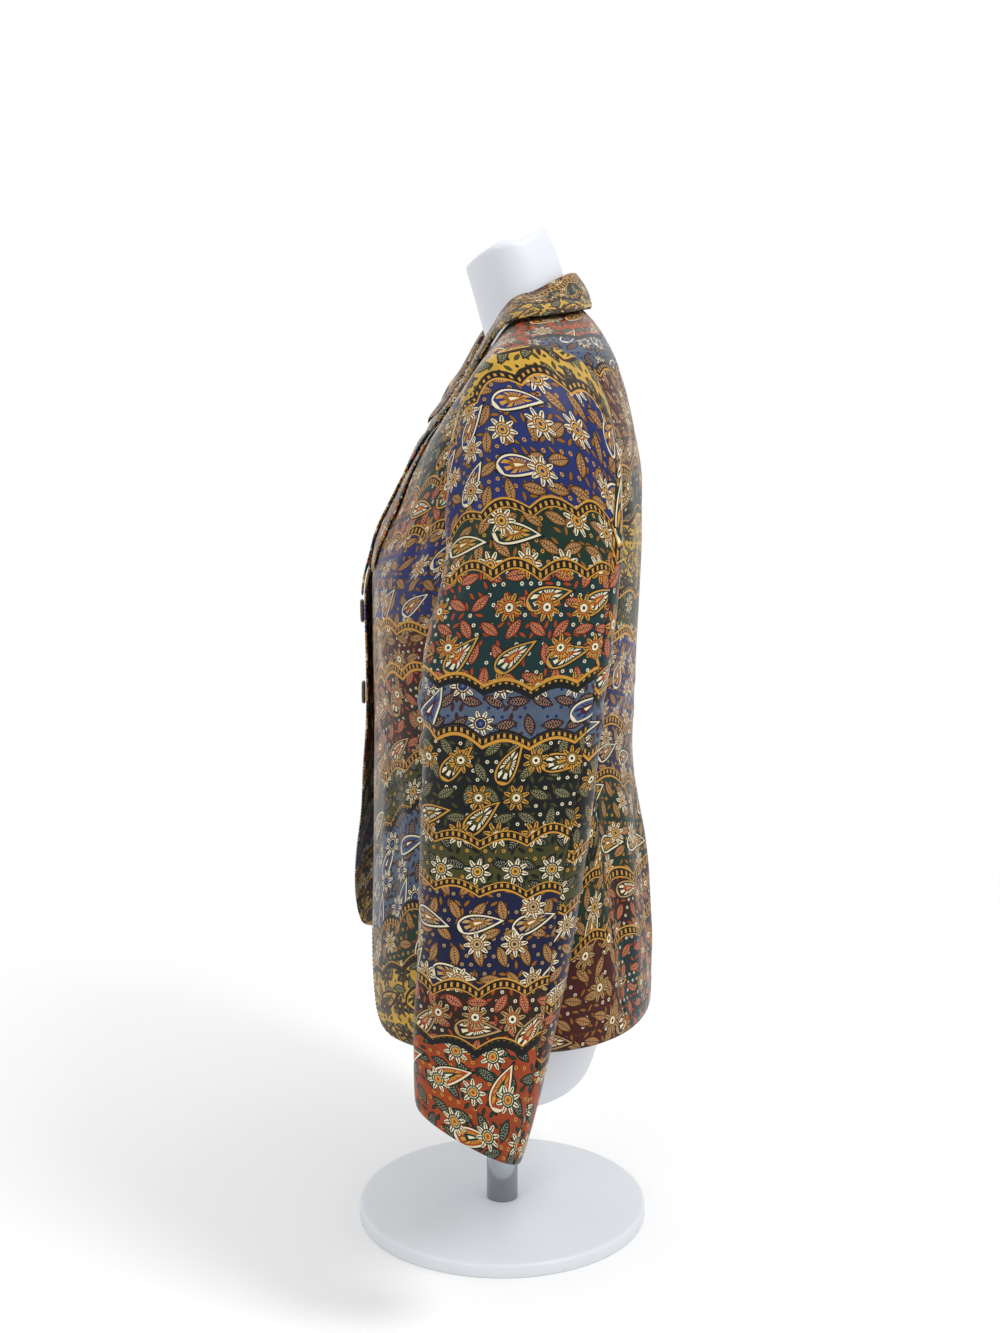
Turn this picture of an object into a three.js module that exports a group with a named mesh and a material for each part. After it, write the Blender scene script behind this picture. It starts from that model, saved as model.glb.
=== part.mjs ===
import * as THREE from 'three';

// A tailored jacket on a limbless dress form, in millimetres, +Z up.
// The wearer faces -Y and the wearer's left side is +X.
// Heights in the tables are measured from a level LIFT above the floor.

// ---- driving dimensions ----------------------------------------------------
const LIFT = 160;           // floor to the level the tables are measured from
const CLOTH = 2;            // wall of every cloth piece
const SEAM_GAP = 0.3;       // clear space between pieces that meet
const BASE_RADIUS = 128;    // round plate the form stands on
const BASE_HEIGHT = 12;
const POST_RADIUS = 14;
const STAND_Y = 2;          // the stand is centred below the form
const BUTTON_RADIUS = 10;
const BUTTON_HEIGHT = 3.4;
const BUTTON_LEVELS = [383, 313];
const RIGHT_HEM_RISE = 14;  // the buttoned right front is drawn up at its corner

const rad = Math.PI / 180;
const smooth = (from, to, at) => {
  const t = Math.min(1, Math.max(0, (at - from) / (to - from)));
  return t * t * (3 - 2 * t);
};
const mix = (a, b, t) => a + (b - a) * t;

// A table: the column names, then one row per section.
const table = (columns, rows) => {
  const names = columns.split(' ');
  return rows.map((row) => Object.fromEntries(names.map((name, i) => [name, row[i]])));
};

// Smooth value of every column between two rows, never beyond them.
function between(rows, at) {
  const last = rows.length - 1;
  const i = Math.min(last - 1, Math.max(0, Math.floor(at)));
  const t = at - i;
  const slope = (k, name) => {
    if (k <= 0) return rows[1][name] - rows[0][name];
    if (k >= last) return rows[last][name] - rows[last - 1][name];
    const before = rows[k][name] - rows[k - 1][name];
    const after = rows[k + 1][name] - rows[k][name];
    return before * after <= 0 ? 0 : (2 * before * after) / (before + after);
  };
  const out = {};
  for (const name of Object.keys(rows[0])) {
    const a = rows[i][name], b = rows[i + 1][name];
    const s0 = slope(i, name), s1 = slope(i + 1, name);
    const h = t * t * (3 - 2 * t);
    out[name] = a + (b - a) * h + s0 * t * (1 - t) ** 2 - s1 * t * t * (1 - t);
  }
  return out;
}

// ---- the body of the jacket ------------------------------------------------
// One row per ring, hem to neck seam. square: 2 is an ellipse, more is boxier.
const BODY = table(
  'zFront zSide zBack half yFront yWide yBack squareFront squareBack', [
    [53, 57, 60, 186, -116, 2, 129, 2.9, 2.4],      // hem
    [106, 110, 111, 176, -115, 2, 127, 2.9, 2.4],
    [162, 164, 164, 165, -112.8, 2, 124, 2.8, 2.4],
    [220, 222, 218, 154, -109.8, 2, 117, 2.7, 2.4],
    [282, 284, 280, 146, -108.7, 2, 111.5, 2.6, 2.4], // waist
    [345, 345, 345, 149, -108.5, 2, 113, 2.6, 2.4],
    [400, 385, 400, 153, -109, 4, 115.5, 2.6, 2.4], // bust
    [440, 420, 448, 157, -104, 7, 116.5, 2.7, 2.4],
    [482, 474, 497, 168, -86, 9, 115, 3.2, 2.5],      // chest
    [522, 545, 547, 182, -63, 10, 103.5, 4, 2.7],
    [555, 595, 588, 177, -35.5, 11, 91, 4.2, 2.7],    // shoulder edge
    [583, 613, 621, 134, -19.5, 13, 78, 3, 2.4],
    [603, 631, 640, 63, -8, 18, 63, 2.1, 2],        // neck seam
  ]);
const TIP = 10;             // row of the shoulder tip
const NECK = BODY.length - 1;

// A ring's point; angle 0 is the front centre, 90 the side, 180 the back.
function ringPoint(r, angle) {
  const s = Math.sin(angle * rad), c = Math.cos(angle * rad);
  const deep = c > 0 ? r.yWide - r.yFront : r.yBack - r.yWide;
  const n = c > 0 ? r.squareFront : r.squareBack;
  const reach = (Math.abs(s / r.half) ** n + Math.abs(c / deep) ** n) ** (-1 / n);
  const x = reach * s, y = r.yWide - reach * c;
  const zEnd = c > 0 ? r.zFront : r.zBack;
  return new THREE.Vector3(x, y, mix(zEnd, r.zSide, (x / r.half) ** 2));
}
const bodyPoint = (angle, row) => ringPoint(between(BODY, row), angle);

// The pattern place (angle, row) whose point has the two wanted coordinates.
function placeOn(surface, axes, wanted, guess) {
  let [angle, row] = guess;
  const miss = (a, r) => axes.map((axis, i) => surface(a, r)[axis] - wanted[i]);
  for (let round = 0; round < 90; round++) {
    const m = miss(angle, row), step = 0.01;
    const ma = miss(angle + step, row), mr = miss(angle, row + step);
    const j = [(ma[0] - m[0]) / step, (mr[0] - m[0]) / step,
      (ma[1] - m[1]) / step, (mr[1] - m[1]) / step];
    const det = j[0] * j[3] - j[1] * j[2];
    if (Math.abs(det) < 1e-9) break;
    angle -= Math.max(-2, Math.min(2, (m[0] * j[3] - m[1] * j[1]) / det));
    row -= Math.max(-0.12, Math.min(0.12, (m[1] * j[0] - m[0] * j[2]) / det));
    row = Math.min(NECK, Math.max(0, row));
  }
  return [angle, row];
}

// Smooth curve through pattern places, t from 0 to 1.
function through(places) {
  const rows = places.map(([angle, row]) => ({ angle, row }));
  return (t) => {
    const p = between(rows, t * (rows.length - 1));
    return [p.angle, p.row];
  };
}
// Curves one after another, each with its own number of the panel's rows.
const joined = (parts) => (t) => {
  const total = parts.reduce((sum, [, rows]) => sum + rows, 0);
  let at = t * total, i = 0;
  while (i + 1 < parts.length && at >= parts[i][1]) at -= parts[i++][1];
  return parts[i][0](at / parts[i][1]);
};

// ---- lines drawn on the body -----------------------------------------------
// Armhole: a loop in the side view; angle 0 front, 90 top, 180 back, 270 below.
const ARMHOLE = { y: 11.5, z: 504.6, halfY: 57.5, halfZ: 94.6, square: 2.5 };
const roundness = (turn, n) =>
  (Math.abs(Math.cos(turn * rad)) ** n + Math.abs(Math.sin(turn * rad)) ** n) ** (-1 / n);
function armholePlace(turn, guess) {
  const k = roundness(turn, ARMHOLE.square);
  const y = ARMHOLE.y - ARMHOLE.halfY * k * Math.cos(turn * rad);
  const z = ARMHOLE.z + ARMHOLE.halfZ * k * Math.sin(turn * rad);
  return placeOn(bodyPoint, ['y', 'z'], [y, z], guess);
}
const ARMHOLE_STEPS = 72;
const TOP_STEP = ARMHOLE_STEPS / 4;
const TURN_OVER = 15;       // steps either side of the top that run straight to it
const armholeRing = [];
for (const way of [1, -1]) {
  let place = [90, 6.7];    // from the underarm up both sides, then over to the tip
  for (let k = 0; k < ARMHOLE_STEPS / 2; k++) {
    const i = (3 * TOP_STEP + way * k + ARMHOLE_STEPS) % ARMHOLE_STEPS;
    const left = ARMHOLE_STEPS / 2 - k;
    if (left >= TURN_OVER) place = armholePlace((i * 360) / ARMHOLE_STEPS, place);
    const share = Math.max(0, 1 - left / TURN_OVER);
    armholeRing[i] = [mix(place[0], 90, share), mix(place[1], TIP, share)];
  }
}
armholeRing[TOP_STEP] = [90, TIP];
function onArmhole(turn) {
  const at = (((turn % 360) + 360) % 360) / (360 / ARMHOLE_STEPS);
  const i = Math.floor(at) % ARMHOLE_STEPS, t = at - Math.floor(at);
  const a = armholeRing[i], b = armholeRing[(i + 1) % ARMHOLE_STEPS];
  return [mix(a[0], b[0], t), mix(a[1], b[1], t)];
}

// Front edge from the rounded hem corner up to the break of the lapel.
const FRONT_EDGE = table('x z', [
  [132, 55], [113, 58], [98, 65], [88, 78], [79, 97], [69, 122], [57, 150], [44, 185],
  [30, 220], [14, 250], [-2, 275], [-13, 300], [-18, 330], [-18, 362], [-18, 392],
]);
// Roll line from the break up to the point where shoulder and neck seams meet.
const ROLL = table('x z', [
  [-18, 392], [-6, 405], [8, 420], [19, 437], [29, 458], [38, 485], [46, 515],
  [52, 544], [56.5, 563], [60.5, 588], [63, 612],
]);
const NECK_POINT = [90, NECK];
const GORGE = 7;            // the roll line's row where the collar begins
const SEAM_FRONT_SIDE = table('y z', [[-26, 57], [-24, 140], [-22, 284], [-22, 360]]);
const SEAM_SIDE_BACK = table('y z', [
  [92, 58.2], [84, 120], [72, 200], [68, 284], [78, 345], [86, 410], [74, 450]]);
const FRONT_UNDERARM = 308; // turn on the armhole where the front seam ends
const BACK_UNDERARM = 206;  // and where the back seam ends

const placeFront = (row, rise = 0) => placeOn(bodyPoint, ['x', 'z'], [row.x, row.z + rise],
  [row.x * 0.5, mix(0, 6, row.z / 400)]);
const placeSide = (row) => placeOn(bodyPoint, ['y', 'z'], [row.y, row.z],
  [90 + row.y * 0.6, mix(0, 6, row.z / 400)]);

// ---- left and right surfaces -----------------------------------------------
// The right front laps over the left one and hangs a little further forward.
function frontPoint(side, angle, row) {
  const p = bodyPoint(angle, row);
  if (side < 0 && angle < 90) {
    const lap = smooth(50, 22, p.x) * (CLOTH + SEAM_GAP);
    const swing = 4 * smooth(440, 395, p.z) + 13 * smooth(300, 110, p.z);
    p.y -= lap + swing * smooth(150, 75, p.x);
  }
  p.x *= side;
  return p;
}
const sidePoint = (side, angle, row) => {
  const p = bodyPoint(angle, row);
  p.x *= side;
  return p;
};

// ---- closed solids ---------------------------------------------------------
// Outward normal of a surface, from its own points a little apart.
function normalOf(surface, a, b, side) {
  const da = 0.4, db = 0.02;
  const across = surface(a + da, b).sub(surface(a - da, b));
  const along = surface(a, b + db).sub(surface(a, b - db));
  return across.cross(along).normalize().multiplyScalar(side);
}

// Faces of a closed skin between two grids of points (outer and inner).
function solidFromGrids(outer, inner) {
  const rows = outer.length, cols = outer[0].length, points = [], faces = [];
  for (const grid of [outer, inner]) for (const line of grid) points.push(...line);
  const at = (grid, i, j) => (grid * rows + i) * cols + j;
  const quad = (a, b, c, d) => faces.push(a, b, c, a, c, d);
  for (let i = 0; i + 1 < rows; i++) {
    for (let j = 0; j + 1 < cols; j++) {
      quad(at(0, i, j), at(0, i, j + 1), at(0, i + 1, j + 1), at(0, i + 1, j));
      quad(at(1, i, j), at(1, i + 1, j), at(1, i + 1, j + 1), at(1, i, j + 1));
    }
  }
  for (let j = 0; j + 1 < cols; j++) {
    quad(at(0, 0, j), at(1, 0, j), at(1, 0, j + 1), at(0, 0, j + 1));
    quad(at(0, rows - 1, j), at(0, rows - 1, j + 1), at(1, rows - 1, j + 1), at(1, rows - 1, j));
  }
  for (let i = 0; i + 1 < rows; i++) {
    quad(at(0, i, 0), at(0, i + 1, 0), at(1, i + 1, 0), at(1, i, 0));
    quad(at(0, i, cols - 1), at(1, i, cols - 1), at(1, i + 1, cols - 1), at(0, i + 1, cols - 1));
  }
  return closed(points, faces);
}

// Closed body through rings of points, its two ends capped.
function solidFromRings(rings) {
  const around = rings[0].length, points = rings.flat(), faces = [];
  for (let i = 0; i + 1 < rings.length; i++) {
    for (let j = 0; j < around; j++) {
      const a = i * around + j, b = i * around + ((j + 1) % around);
      faces.push(a, b, b + around, a, b + around, a + around);
    }
  }
  for (const [ring, turned] of [[0, true], [rings.length - 1, false]]) {
    const middle = points.length, centre = new THREE.Vector3();
    rings[ring].forEach((p) => centre.addScaledVector(p, 1 / around));
    points.push(centre);
    for (let j = 0; j < around; j++) {
      const a = ring * around + j, b = ring * around + ((j + 1) % around);
      faces.push(...(turned ? [middle, b, a] : [middle, a, b]));
    }
  }
  return closed(points, faces);
}

// Geometry with its faces turned outward.
function closed(points, faces) {
  let volume = 0;
  for (let i = 0; i < faces.length; i += 3) {
    const [a, b, c] = [points[faces[i]], points[faces[i + 1]], points[faces[i + 2]]];
    volume += a.dot(b.clone().cross(c));
  }
  const index = volume > 0 ? faces : faces.slice().reverse();
  const geometry = new THREE.BufferGeometry();
  const flat = points.flatMap((p) => [p.x, p.y, p.z + LIFT]);
  geometry.setAttribute('position', new THREE.Float32BufferAttribute(flat, 3));
  geometry.setIndex(index);
  geometry.computeVertexNormals();
  return geometry;
}

// Border points of a grid drawn in by half the seam gap.
function drawnIn(grid, by = SEAM_GAP / 2) {
  const out = grid.map((line) => line.map((p) => p.clone()));
  const rows = grid.length, cols = grid[0].length;
  const pull = (i, j, k, l) => {
    const step = grid[k][l].clone().sub(grid[i][j]);
    if (step.length() > by) out[i][j].addScaledVector(step.normalize(), by);
  };
  for (let j = 0; j < cols; j++) {
    pull(0, j, 1, j);
    pull(rows - 1, j, rows - 2, j);
  }
  for (let i = 0; i < rows; i++) {
    pull(i, 0, i, 1);
    pull(i, cols - 1, i, cols - 2);
  }
  return out;
}

// A cloth piece of a surface: its grid of places, and how far out it lies.
function clothPiece(surface, side, grid, lieOut = 0) {
  const face = drawnIn(grid.map((line) => line.map(([a, b]) => surface(a, b))));
  const normals = grid.map((line) => line.map(([a, b]) => normalOf(surface, a, b, side)));
  const layer = (depth) => face.map((line, i) =>
    line.map((p, j) => p.clone().addScaledVector(normals[i][j], depth)));
  return solidFromGrids(layer(lieOut), layer(lieOut - CLOTH));
}

// Places filling the area between four border curves of a panel.
function fill(bottom, top, left, right, cols, rows) {
  const grid = [];
  for (let i = 0; i <= rows; i++) {
    const t = i / rows, line = [];
    for (let j = 0; j <= cols; j++) {
      const s = j / cols;
      line.push([0, 1].map((k) =>
        mix(bottom(s)[k], top(s)[k], t) + mix(left(t)[k], right(t)[k], s)
        - mix(mix(bottom(0)[k], bottom(1)[k], s), mix(top(0)[k], top(1)[k], s), t)));
    }
    grid.push(line);
  }
  return grid;
}
const straight = (a, b) => (s) => [mix(a[0], b[0], s), mix(a[1], b[1], s)];

// ---- panels ----------------------------------------------------------------
const SEAM_ROWS = 16;       // rows of facets below the armhole, shared by the side panel
const FRONT_ROWS = 13;      // rows of the front along its armhole
const BACK_ROWS = 7;        // rows of the back along its armhole
const WIDTH = 9;            // facets across a front or back, and along the shoulder seam
const SIDE_WIDTH = 5;
const seamFrontSide = through([...SEAM_FRONT_SIDE.map(placeSide), onArmhole(FRONT_UNDERARM)]);
const seamSideBack = through([...SEAM_SIDE_BACK.map(placeSide), onArmhole(BACK_UNDERARM)]);
const shoulderTip = [90, TIP];
const shoulderSeam = straight(shoulderTip, NECK_POINT);
const armholeFront = (t) => onArmhole(mix(FRONT_UNDERARM, 450, t));
const armholeBack = (t) => onArmhole(mix(BACK_UNDERARM, 90, t));

function frontGrid(side) {
  const rise = side < 0 ? RIGHT_HEM_RISE : 0;
  const edge = through(FRONT_EDGE.map((row, i) => placeFront(row, rise * smooth(10, 1, i))));
  const roll = through([...ROLL.map((row) => placeFront(row)), NECK_POINT]);
  const left = joined([[edge, SEAM_ROWS], [roll, FRONT_ROWS]]);
  const right = joined([[seamFrontSide, SEAM_ROWS], [armholeFront, FRONT_ROWS]]);
  return fill(straight(left(0), right(0)), straight(NECK_POINT, shoulderTip),
    left, right, WIDTH, SEAM_ROWS + FRONT_ROWS);
}
function sideGrid() {
  const top = (s) => onArmhole(mix(FRONT_UNDERARM, BACK_UNDERARM, s));
  return fill(straight(seamFrontSide(0), seamSideBack(0)), top,
    seamFrontSide, seamSideBack, SIDE_WIDTH, SEAM_ROWS);
}
// Up its side the back follows the side seam, the armhole and the shoulder seam.
function backGrid() {
  const underarm = [180, onArmhole(BACK_UNDERARM)[1]], level = [180, TIP], nape = [180, NECK];
  const counts = [SEAM_ROWS, BACK_ROWS, WIDTH];
  const side = [seamSideBack, armholeBack, shoulderSeam];
  const centre = [straight([180, 0], underarm), straight(underarm, level), straight(level, nape)];
  const inRows = (curves) => joined(curves.map((curve, i) => [curve, counts[i]]));
  return fill(straight(seamSideBack(0), [180, 0]), straight(NECK_POINT, nape),
    inRows(side), inRows(centre), WIDTH, counts[0] + counts[1] + counts[2]);
}

// ---- sleeves ---------------------------------------------------------------
// One row per ring: its inner and outer points in the front view, its front
// and back in the side view, how far its back edge drops, its back seam.
const SLEEVE = table(
  'xIn zIn xOut zOut yFront yBack drop square backSeam', [
    [157.5, 410.5, 179, 600, -46, 69, 0, 2.5, 150],
    [159, 411.5, 197, 599, -48, 70.5, 0, 2.5, 150],
    [160.5, 412, 214, 584, -49, 71.5, 0, 2.5, 150],
    [162, 411.5, 227, 561, -49, 72.5, 0, 2.4, 150],
    [163.5, 409.5, 234, 524, -50, 73, 0, 2.3, 149],
    [164.5, 406, 237, 482, -52, 73, 0, 2.3, 148],
    [165.5, 400, 239, 442, -57, 72, 0, 2.3, 147],
    [166.5, 390, 240, 404, -64, 69.5, 0, 2.3, 146],
    [167.5, 366, 241.5, 370, -69, 66, 0, 2.3, 145],
    [169, 335, 243, 336, -70.5, 61.5, 0, 2.3, 142],
    [171, 300, 246, 300, -71, 56.5, 0, 2.3, 139],
    [174, 260, 249, 260, -72, 52, 0, 2.3, 136],
    [178, 220, 252, 220, -73, 47, 0, 2.3, 133],
    [182, 180, 254, 180, -74.5, 41, 0, 2.3, 132],
    [185.5, 140, 255, 140, -76, 34, 3, 2.3, 133],
    [188, 100, 256, 100, -78, 25, 12, 2.3, 136],
    [190, 60, 256, 60, -78.5, 14, 27, 2.3, 138],
    [191.5, 35, 255.5, 35, -78.5, 6, 38, 2.3, 140],
    [193, 12.5, 254.5, 12.5, -78, -1.5, 46, 2.3, 141],  // cuff
  ]);
const SLEEVE_CLEAR = 2.2;   // the sleeve starts this far outside the armhole
const SLEEVE_BLEND = 1.6;   // rows over which it changes from the armhole to its own rings
const FRONT_SEAM = -24;     // turn of the sleeve's front seam, on the inner side
function sleevePoint(turn, row) {
  const r = between(SLEEVE, row), k = roundness(turn, r.square);
  const deep = -k * Math.cos(turn * rad), out = k * Math.sin(turn * rad);
  const ring = new THREE.Vector3(
    mix(r.xIn, r.xOut, (1 + out) / 2),
    mix(r.yFront, r.yBack, (1 + deep) / 2),
    mix(r.zIn, r.zOut, (1 + out) / 2) - (r.drop * deep) / 2);
  if (row > SLEEVE_BLEND) return ring;
  const start = bodyPoint(...onArmhole(turn));
  start.x += SLEEVE_CLEAR;
  const share = Math.max(0, row / SLEEVE_BLEND);
  return start.lerp(ring, share * (2 - share));
}
const LAST_RING = SLEEVE.length - 1;
function sleeveGrid(from, to, cols, rows) {
  const grid = [];
  for (let i = 0; i <= rows; i++) {
    const row = (LAST_RING * i) / rows, line = [];
    for (let j = 0; j <= cols; j++) line.push([mix(from(row), to(row), j / cols), row]);
    grid.push(line);
  }
  return grid;
}
const backSeam = (row) => between(SLEEVE, row).backSeam;
const sleeveOn = (side) => (turn, row) => {
  const p = sleevePoint(turn, row);
  p.x *= side;
  return p;
};

// ---- collar and lapels -----------------------------------------------------
// One row per station, from the centre back to the gorge: how far the fold
// rises off the neck seam and leans in over it, the fold's radius, the edge of
// the fall as a pattern place, and how far that edge stands off the body.
const COLLAR = table('stand lean round edgeAngle edgeRow off', [
  [22.5, 3, 2.3, 180, 11.49, 6],
  [21.5, 5.5, 2.3, 150, 11.54, 5.5],
  [18, 7, 2.3, 126, 11.5, 4.5],
  [10, 6, 2.2, 96, 11.44, 3.4],
  [5, 3, 1.8, 78, 11.2, 2.8],
  [4, 1.5, 1.5, 69, 10.62, 2.4],
  [3.8, 1, 1.5, 60, 9.71, 2.4],
  [3.8, 1, 1.5, 53.5, 9.25, 3],
]);
const NECKLINE = [[180, NECK], [150, NECK], [120, NECK], NECK_POINT,
  ...ROLL.slice(GORGE).reverse().map((row) => placeFront(row))];
const neckline = through(NECKLINE);
const FALL_BELLY = 2.2;     // the fall is rounded over the shoulder
const COLLAR_CLEAR = 0.5;   // off the facets of the panels below it
const HAIRPIN = table('out up', [[-1, 0], [-0.71, 0.71], [0, 1], [0.71, 0.71], [1, 0]]);
// The middle of the collar's cloth: u from the seam (0) over the fold (about
// half) to the edge of the fall (1); s from -1 (right) to 1 (left). The stand
// rises straight up at the back and square to the panels at the front.
function collarPoint(s, u) {
  const t = Math.abs(s), st = between(COLLAR, t * (COLLAR.length - 1));
  const place = neckline(t), face = normalOf(bodyPoint, ...place, 1);
  const seam = bodyPoint(...place).addScaledVector(face, CLOTH / 2 + COLLAR_CLEAR);
  const run = bodyPoint(...neckline(Math.min(1, t + 0.01)))
    .sub(bodyPoint(...neckline(Math.max(0, t - 0.01)))).normalize();
  const rise = new THREE.Vector3(0, 0, 1).lerp(face, smooth(0.3, 0.6, t));
  rise.addScaledVector(run, -rise.dot(run)).normalize();
  const fold = seam.clone().addScaledVector(rise, st.stand)
    .addScaledVector(run.cross(rise), st.lean);
  const edge = bodyPoint(st.edgeAngle, st.edgeRow)
    .addScaledVector(normalOf(bodyPoint, st.edgeAngle, st.edgeRow, 1), st.off + SEAM_GAP);
  const stand = fold.clone().sub(seam).normalize(), fall = edge.clone().sub(fold).normalize();
  const up = stand.clone().sub(fall).normalize();
  const out = edge.clone().sub(seam);
  out.addScaledVector(up, -out.dot(up)).normalize();
  const middle = fold.clone().addScaledVector(up, -st.round);
  const bend = HAIRPIN.map((at) => middle.clone()
    .addScaledVector(out, at.out * st.round).addScaledVector(up, at.up * st.round));
  const [inside, outside] = [bend[0], bend[bend.length - 1]];
  const down = edge.clone().sub(outside).normalize();
  const belly = (share) => outside.clone().lerp(edge, share)
    .addScaledVector(out, -down.dot(up) * FALL_BELLY).addScaledVector(up, down.dot(out) * FALL_BELLY);
  const path = [seam, seam.clone().lerp(inside, 0.5), ...bend, belly(0.35), belly(0.7), edge];
  const at = u * (path.length - 1), i = Math.min(path.length - 2, Math.floor(at));
  const p = path[i].clone().lerp(path[i + 1], at - i);
  if (s < 0) p.x *= -1;
  return p;
}
// The collar's two faces lie half a cloth either side of that middle.
function collarSolid(along, across) {
  const outer = [], inner = [];
  for (let i = 0; i <= along; i++) {
    const s = mix(-1, 1, i / along), lines = [[], []];
    for (let j = 0; j <= across; j++) {
      const u = j / across, here = collarPoint(s, u);
      const du = 0.5 / across, ds = 0.5 / along;
      const way = collarPoint(s, Math.min(1, u + du)).sub(collarPoint(s, Math.max(0, u - du)));
      const run = collarPoint(Math.min(1, s + ds), u).sub(collarPoint(Math.max(-1, s - ds), u));
      const normal = run.cross(way).normalize().multiplyScalar(CLOTH / 2);
      lines[0].push(here.clone().add(normal));
      lines[1].push(here.clone().sub(normal));
    }
    outer.push(lines[0]);
    inner.push(lines[1]);
  }
  return solidFromGrids(outer, inner);
}

// The lapel is the front turned back on itself: a leaf from the roll line out.
const LAPEL_WIDTH = 38;
const LAPEL_CLEAR = 0.6;    // off the front's face, at its flat facets too
const LAPEL_LEAN = { x: 0.91, z: -0.42 };   // square to the roll line, outward
const LAPEL_START = { 1: 0.36, '-1': 0.08 };  // the lapped one starts above the crossing
function lapelGrid(side, cols, rows) {
  const roll = through(ROLL.slice(0, GORGE + 1).map((row) => placeFront(row)));
  const grid = [];
  for (let i = 0; i <= rows; i++) {
    const t = mix(LAPEL_START[side], 0.985, i / rows), inner = roll(t);
    const here = bodyPoint(...inner);
    const width = Math.max(4, LAPEL_WIDTH * smooth(-0.15, 0.75, t));
    const edge = placeFront({ x: here.x + width * LAPEL_LEAN.x,
      z: here.z + width * LAPEL_LEAN.z });
    grid.push(Array.from({ length: cols + 1 }, (_, j) => straight(inner, edge)(j / cols)));
  }
  return grid;
}

// ---- dress form and stand --------------------------------------------------
// Inside the jacket the form follows its shape: how much narrower it is, and
// how far in it lies. Below the hem and above the neck seam it has own rings.
const FORM_INSIDE = table('row narrow inset', [
  [1, 0.86, 28], [2, 0.9, 18], [3, 0.88, 16], [4, 0.84, 20], [5, 0.86, 16], [6, 0.88, 6],
  [7, 0.89, 4], [8, 0.89, 2.6], [9, 0.88, 2], [9.6, 0.88, 1.6], [9.85, 0.91, 2],
  [10.2, 0.95, 3.6], [10.6, 0.99, 4.2], [11, 1, 3.4], [11.4, 1, 2.9], [11.8, 1, 2.6], [12, 1, 2.2],
]);
const RING_COLUMNS = 'zFront zSide zBack half yFront yWide yBack squareFront squareBack';
const FORM_BOTTOM = table(RING_COLUMNS, [
  [-33, -33, -33, 58, -24, 1, 32, 2, 2], [-29, -29, -29, 88, -48, 1, 60, 2, 2],
  [-17, -17, -17, 110, -66, 1, 76, 2.1, 2.1], [8, 8, 8, 121, -78, 1, 85, 2.2, 2.2],
  [55, 55, 55, 128, -85, 1, 93, 2.3, 2.3],
]);
const FORM_NECK = table(RING_COLUMNS, [
  [607, 633, 646, 52, -10.5, 20, 57, 2, 2], [618, 643, 657, 48.5, -14, 18, 54, 2, 2],
  [636, 658, 672, 47.5, -19, 14, 49.5, 2, 2], [655, 673, 688, 47, -24.5, 9, 43, 2, 2],
  [668, 683, 697, 46.5, -28, 5, 38.5, 2, 2], [672, 687, 701, 43, -25, 5, 35.5, 2, 2],
]);
function formSolid(around) {
  const turns = Array.from({ length: around }, (_, j) => (j * 360) / around);
  const half = (turn) => (turn > 180 ? [360 - turn, -1] : [turn, 1]);
  const ownRing = (r) => turns.map((turn) => {
    const [angle, side] = half(turn);
    const p = ringPoint(r, angle);
    p.x *= side;
    return p;
  });
  const insideRing = (r) => turns.map((turn) => {
    const [angle, side] = half(turn);
    const p = bodyPoint(angle, r.row);
    p.addScaledVector(normalOf(bodyPoint, angle, r.row, 1), -(CLOTH + r.inset));
    p.x *= side * r.narrow;
    return p;
  });
  return solidFromRings([...FORM_BOTTOM.map(ownRing), ...FORM_INSIDE.map(insideRing),
    ...FORM_NECK.map(ownRing)]);
}
// A round body standing on z: rows of radius and height.
const turned = (profile, y, around) => solidFromRings(profile.map(([radius, z]) =>
  Array.from({ length: around }, (_, j) => new THREE.Vector3(
    radius * Math.cos((j * 2 * Math.PI) / around),
    y + radius * Math.sin((j * 2 * Math.PI) / around), z))));
const postSolid = (around) => turned([[POST_RADIUS, BASE_HEIGHT + SEAM_GAP - LIFT],
  [POST_RADIUS, FORM_BOTTOM[0].zFront - SEAM_GAP]], STAND_Y, around);
const baseSolid = (around) => turned([[BASE_RADIUS, -LIFT], [BASE_RADIUS, BASE_HEIGHT - 3 - LIFT],
  [BASE_RADIUS - 3, BASE_HEIGHT - LIFT]], STAND_Y, around);

// A round button lying on the outer face of the right front.
function buttonSolid(level, around) {
  const [angle, row] = placeFront({ x: 0, z: level });
  const surface = (a, b) => frontPoint(-1, a, b);
  const out = normalOf(surface, angle, row, -1);
  const foot = surface(angle, row).addScaledVector(out, SEAM_GAP + 0.1);
  const right = new THREE.Vector3(1, 0, 0).cross(out).normalize();
  const up = out.clone().cross(right);
  const profile = [[BUTTON_RADIUS - 0.8, 0], [BUTTON_RADIUS, 1], [BUTTON_RADIUS, 2.2],
    [BUTTON_RADIUS - 1, BUTTON_HEIGHT], [BUTTON_RADIUS - 2.4, BUTTON_HEIGHT],
    [BUTTON_RADIUS - 3.4, BUTTON_HEIGHT - 1]];
  return solidFromRings(profile.map(([radius, height]) =>
    Array.from({ length: around }, (_, j) => {
      const turn = (j * 2 * Math.PI) / around;
      return foot.clone().addScaledVector(out, height)
        .addScaledVector(right, radius * Math.cos(turn))
        .addScaledVector(up, radius * Math.sin(turn));
    })));
}

// ---- the parts of the scene ------------------------------------------------
const group = new THREE.Group();
function add(name, geometry, colour, roughness, metalness = 0) {
  const material = new THREE.MeshStandardMaterial({ color: colour, roughness, metalness });
  const mesh = new THREE.Mesh(geometry, material);
  mesh.name = name;
  group.add(mesh);
}

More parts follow.
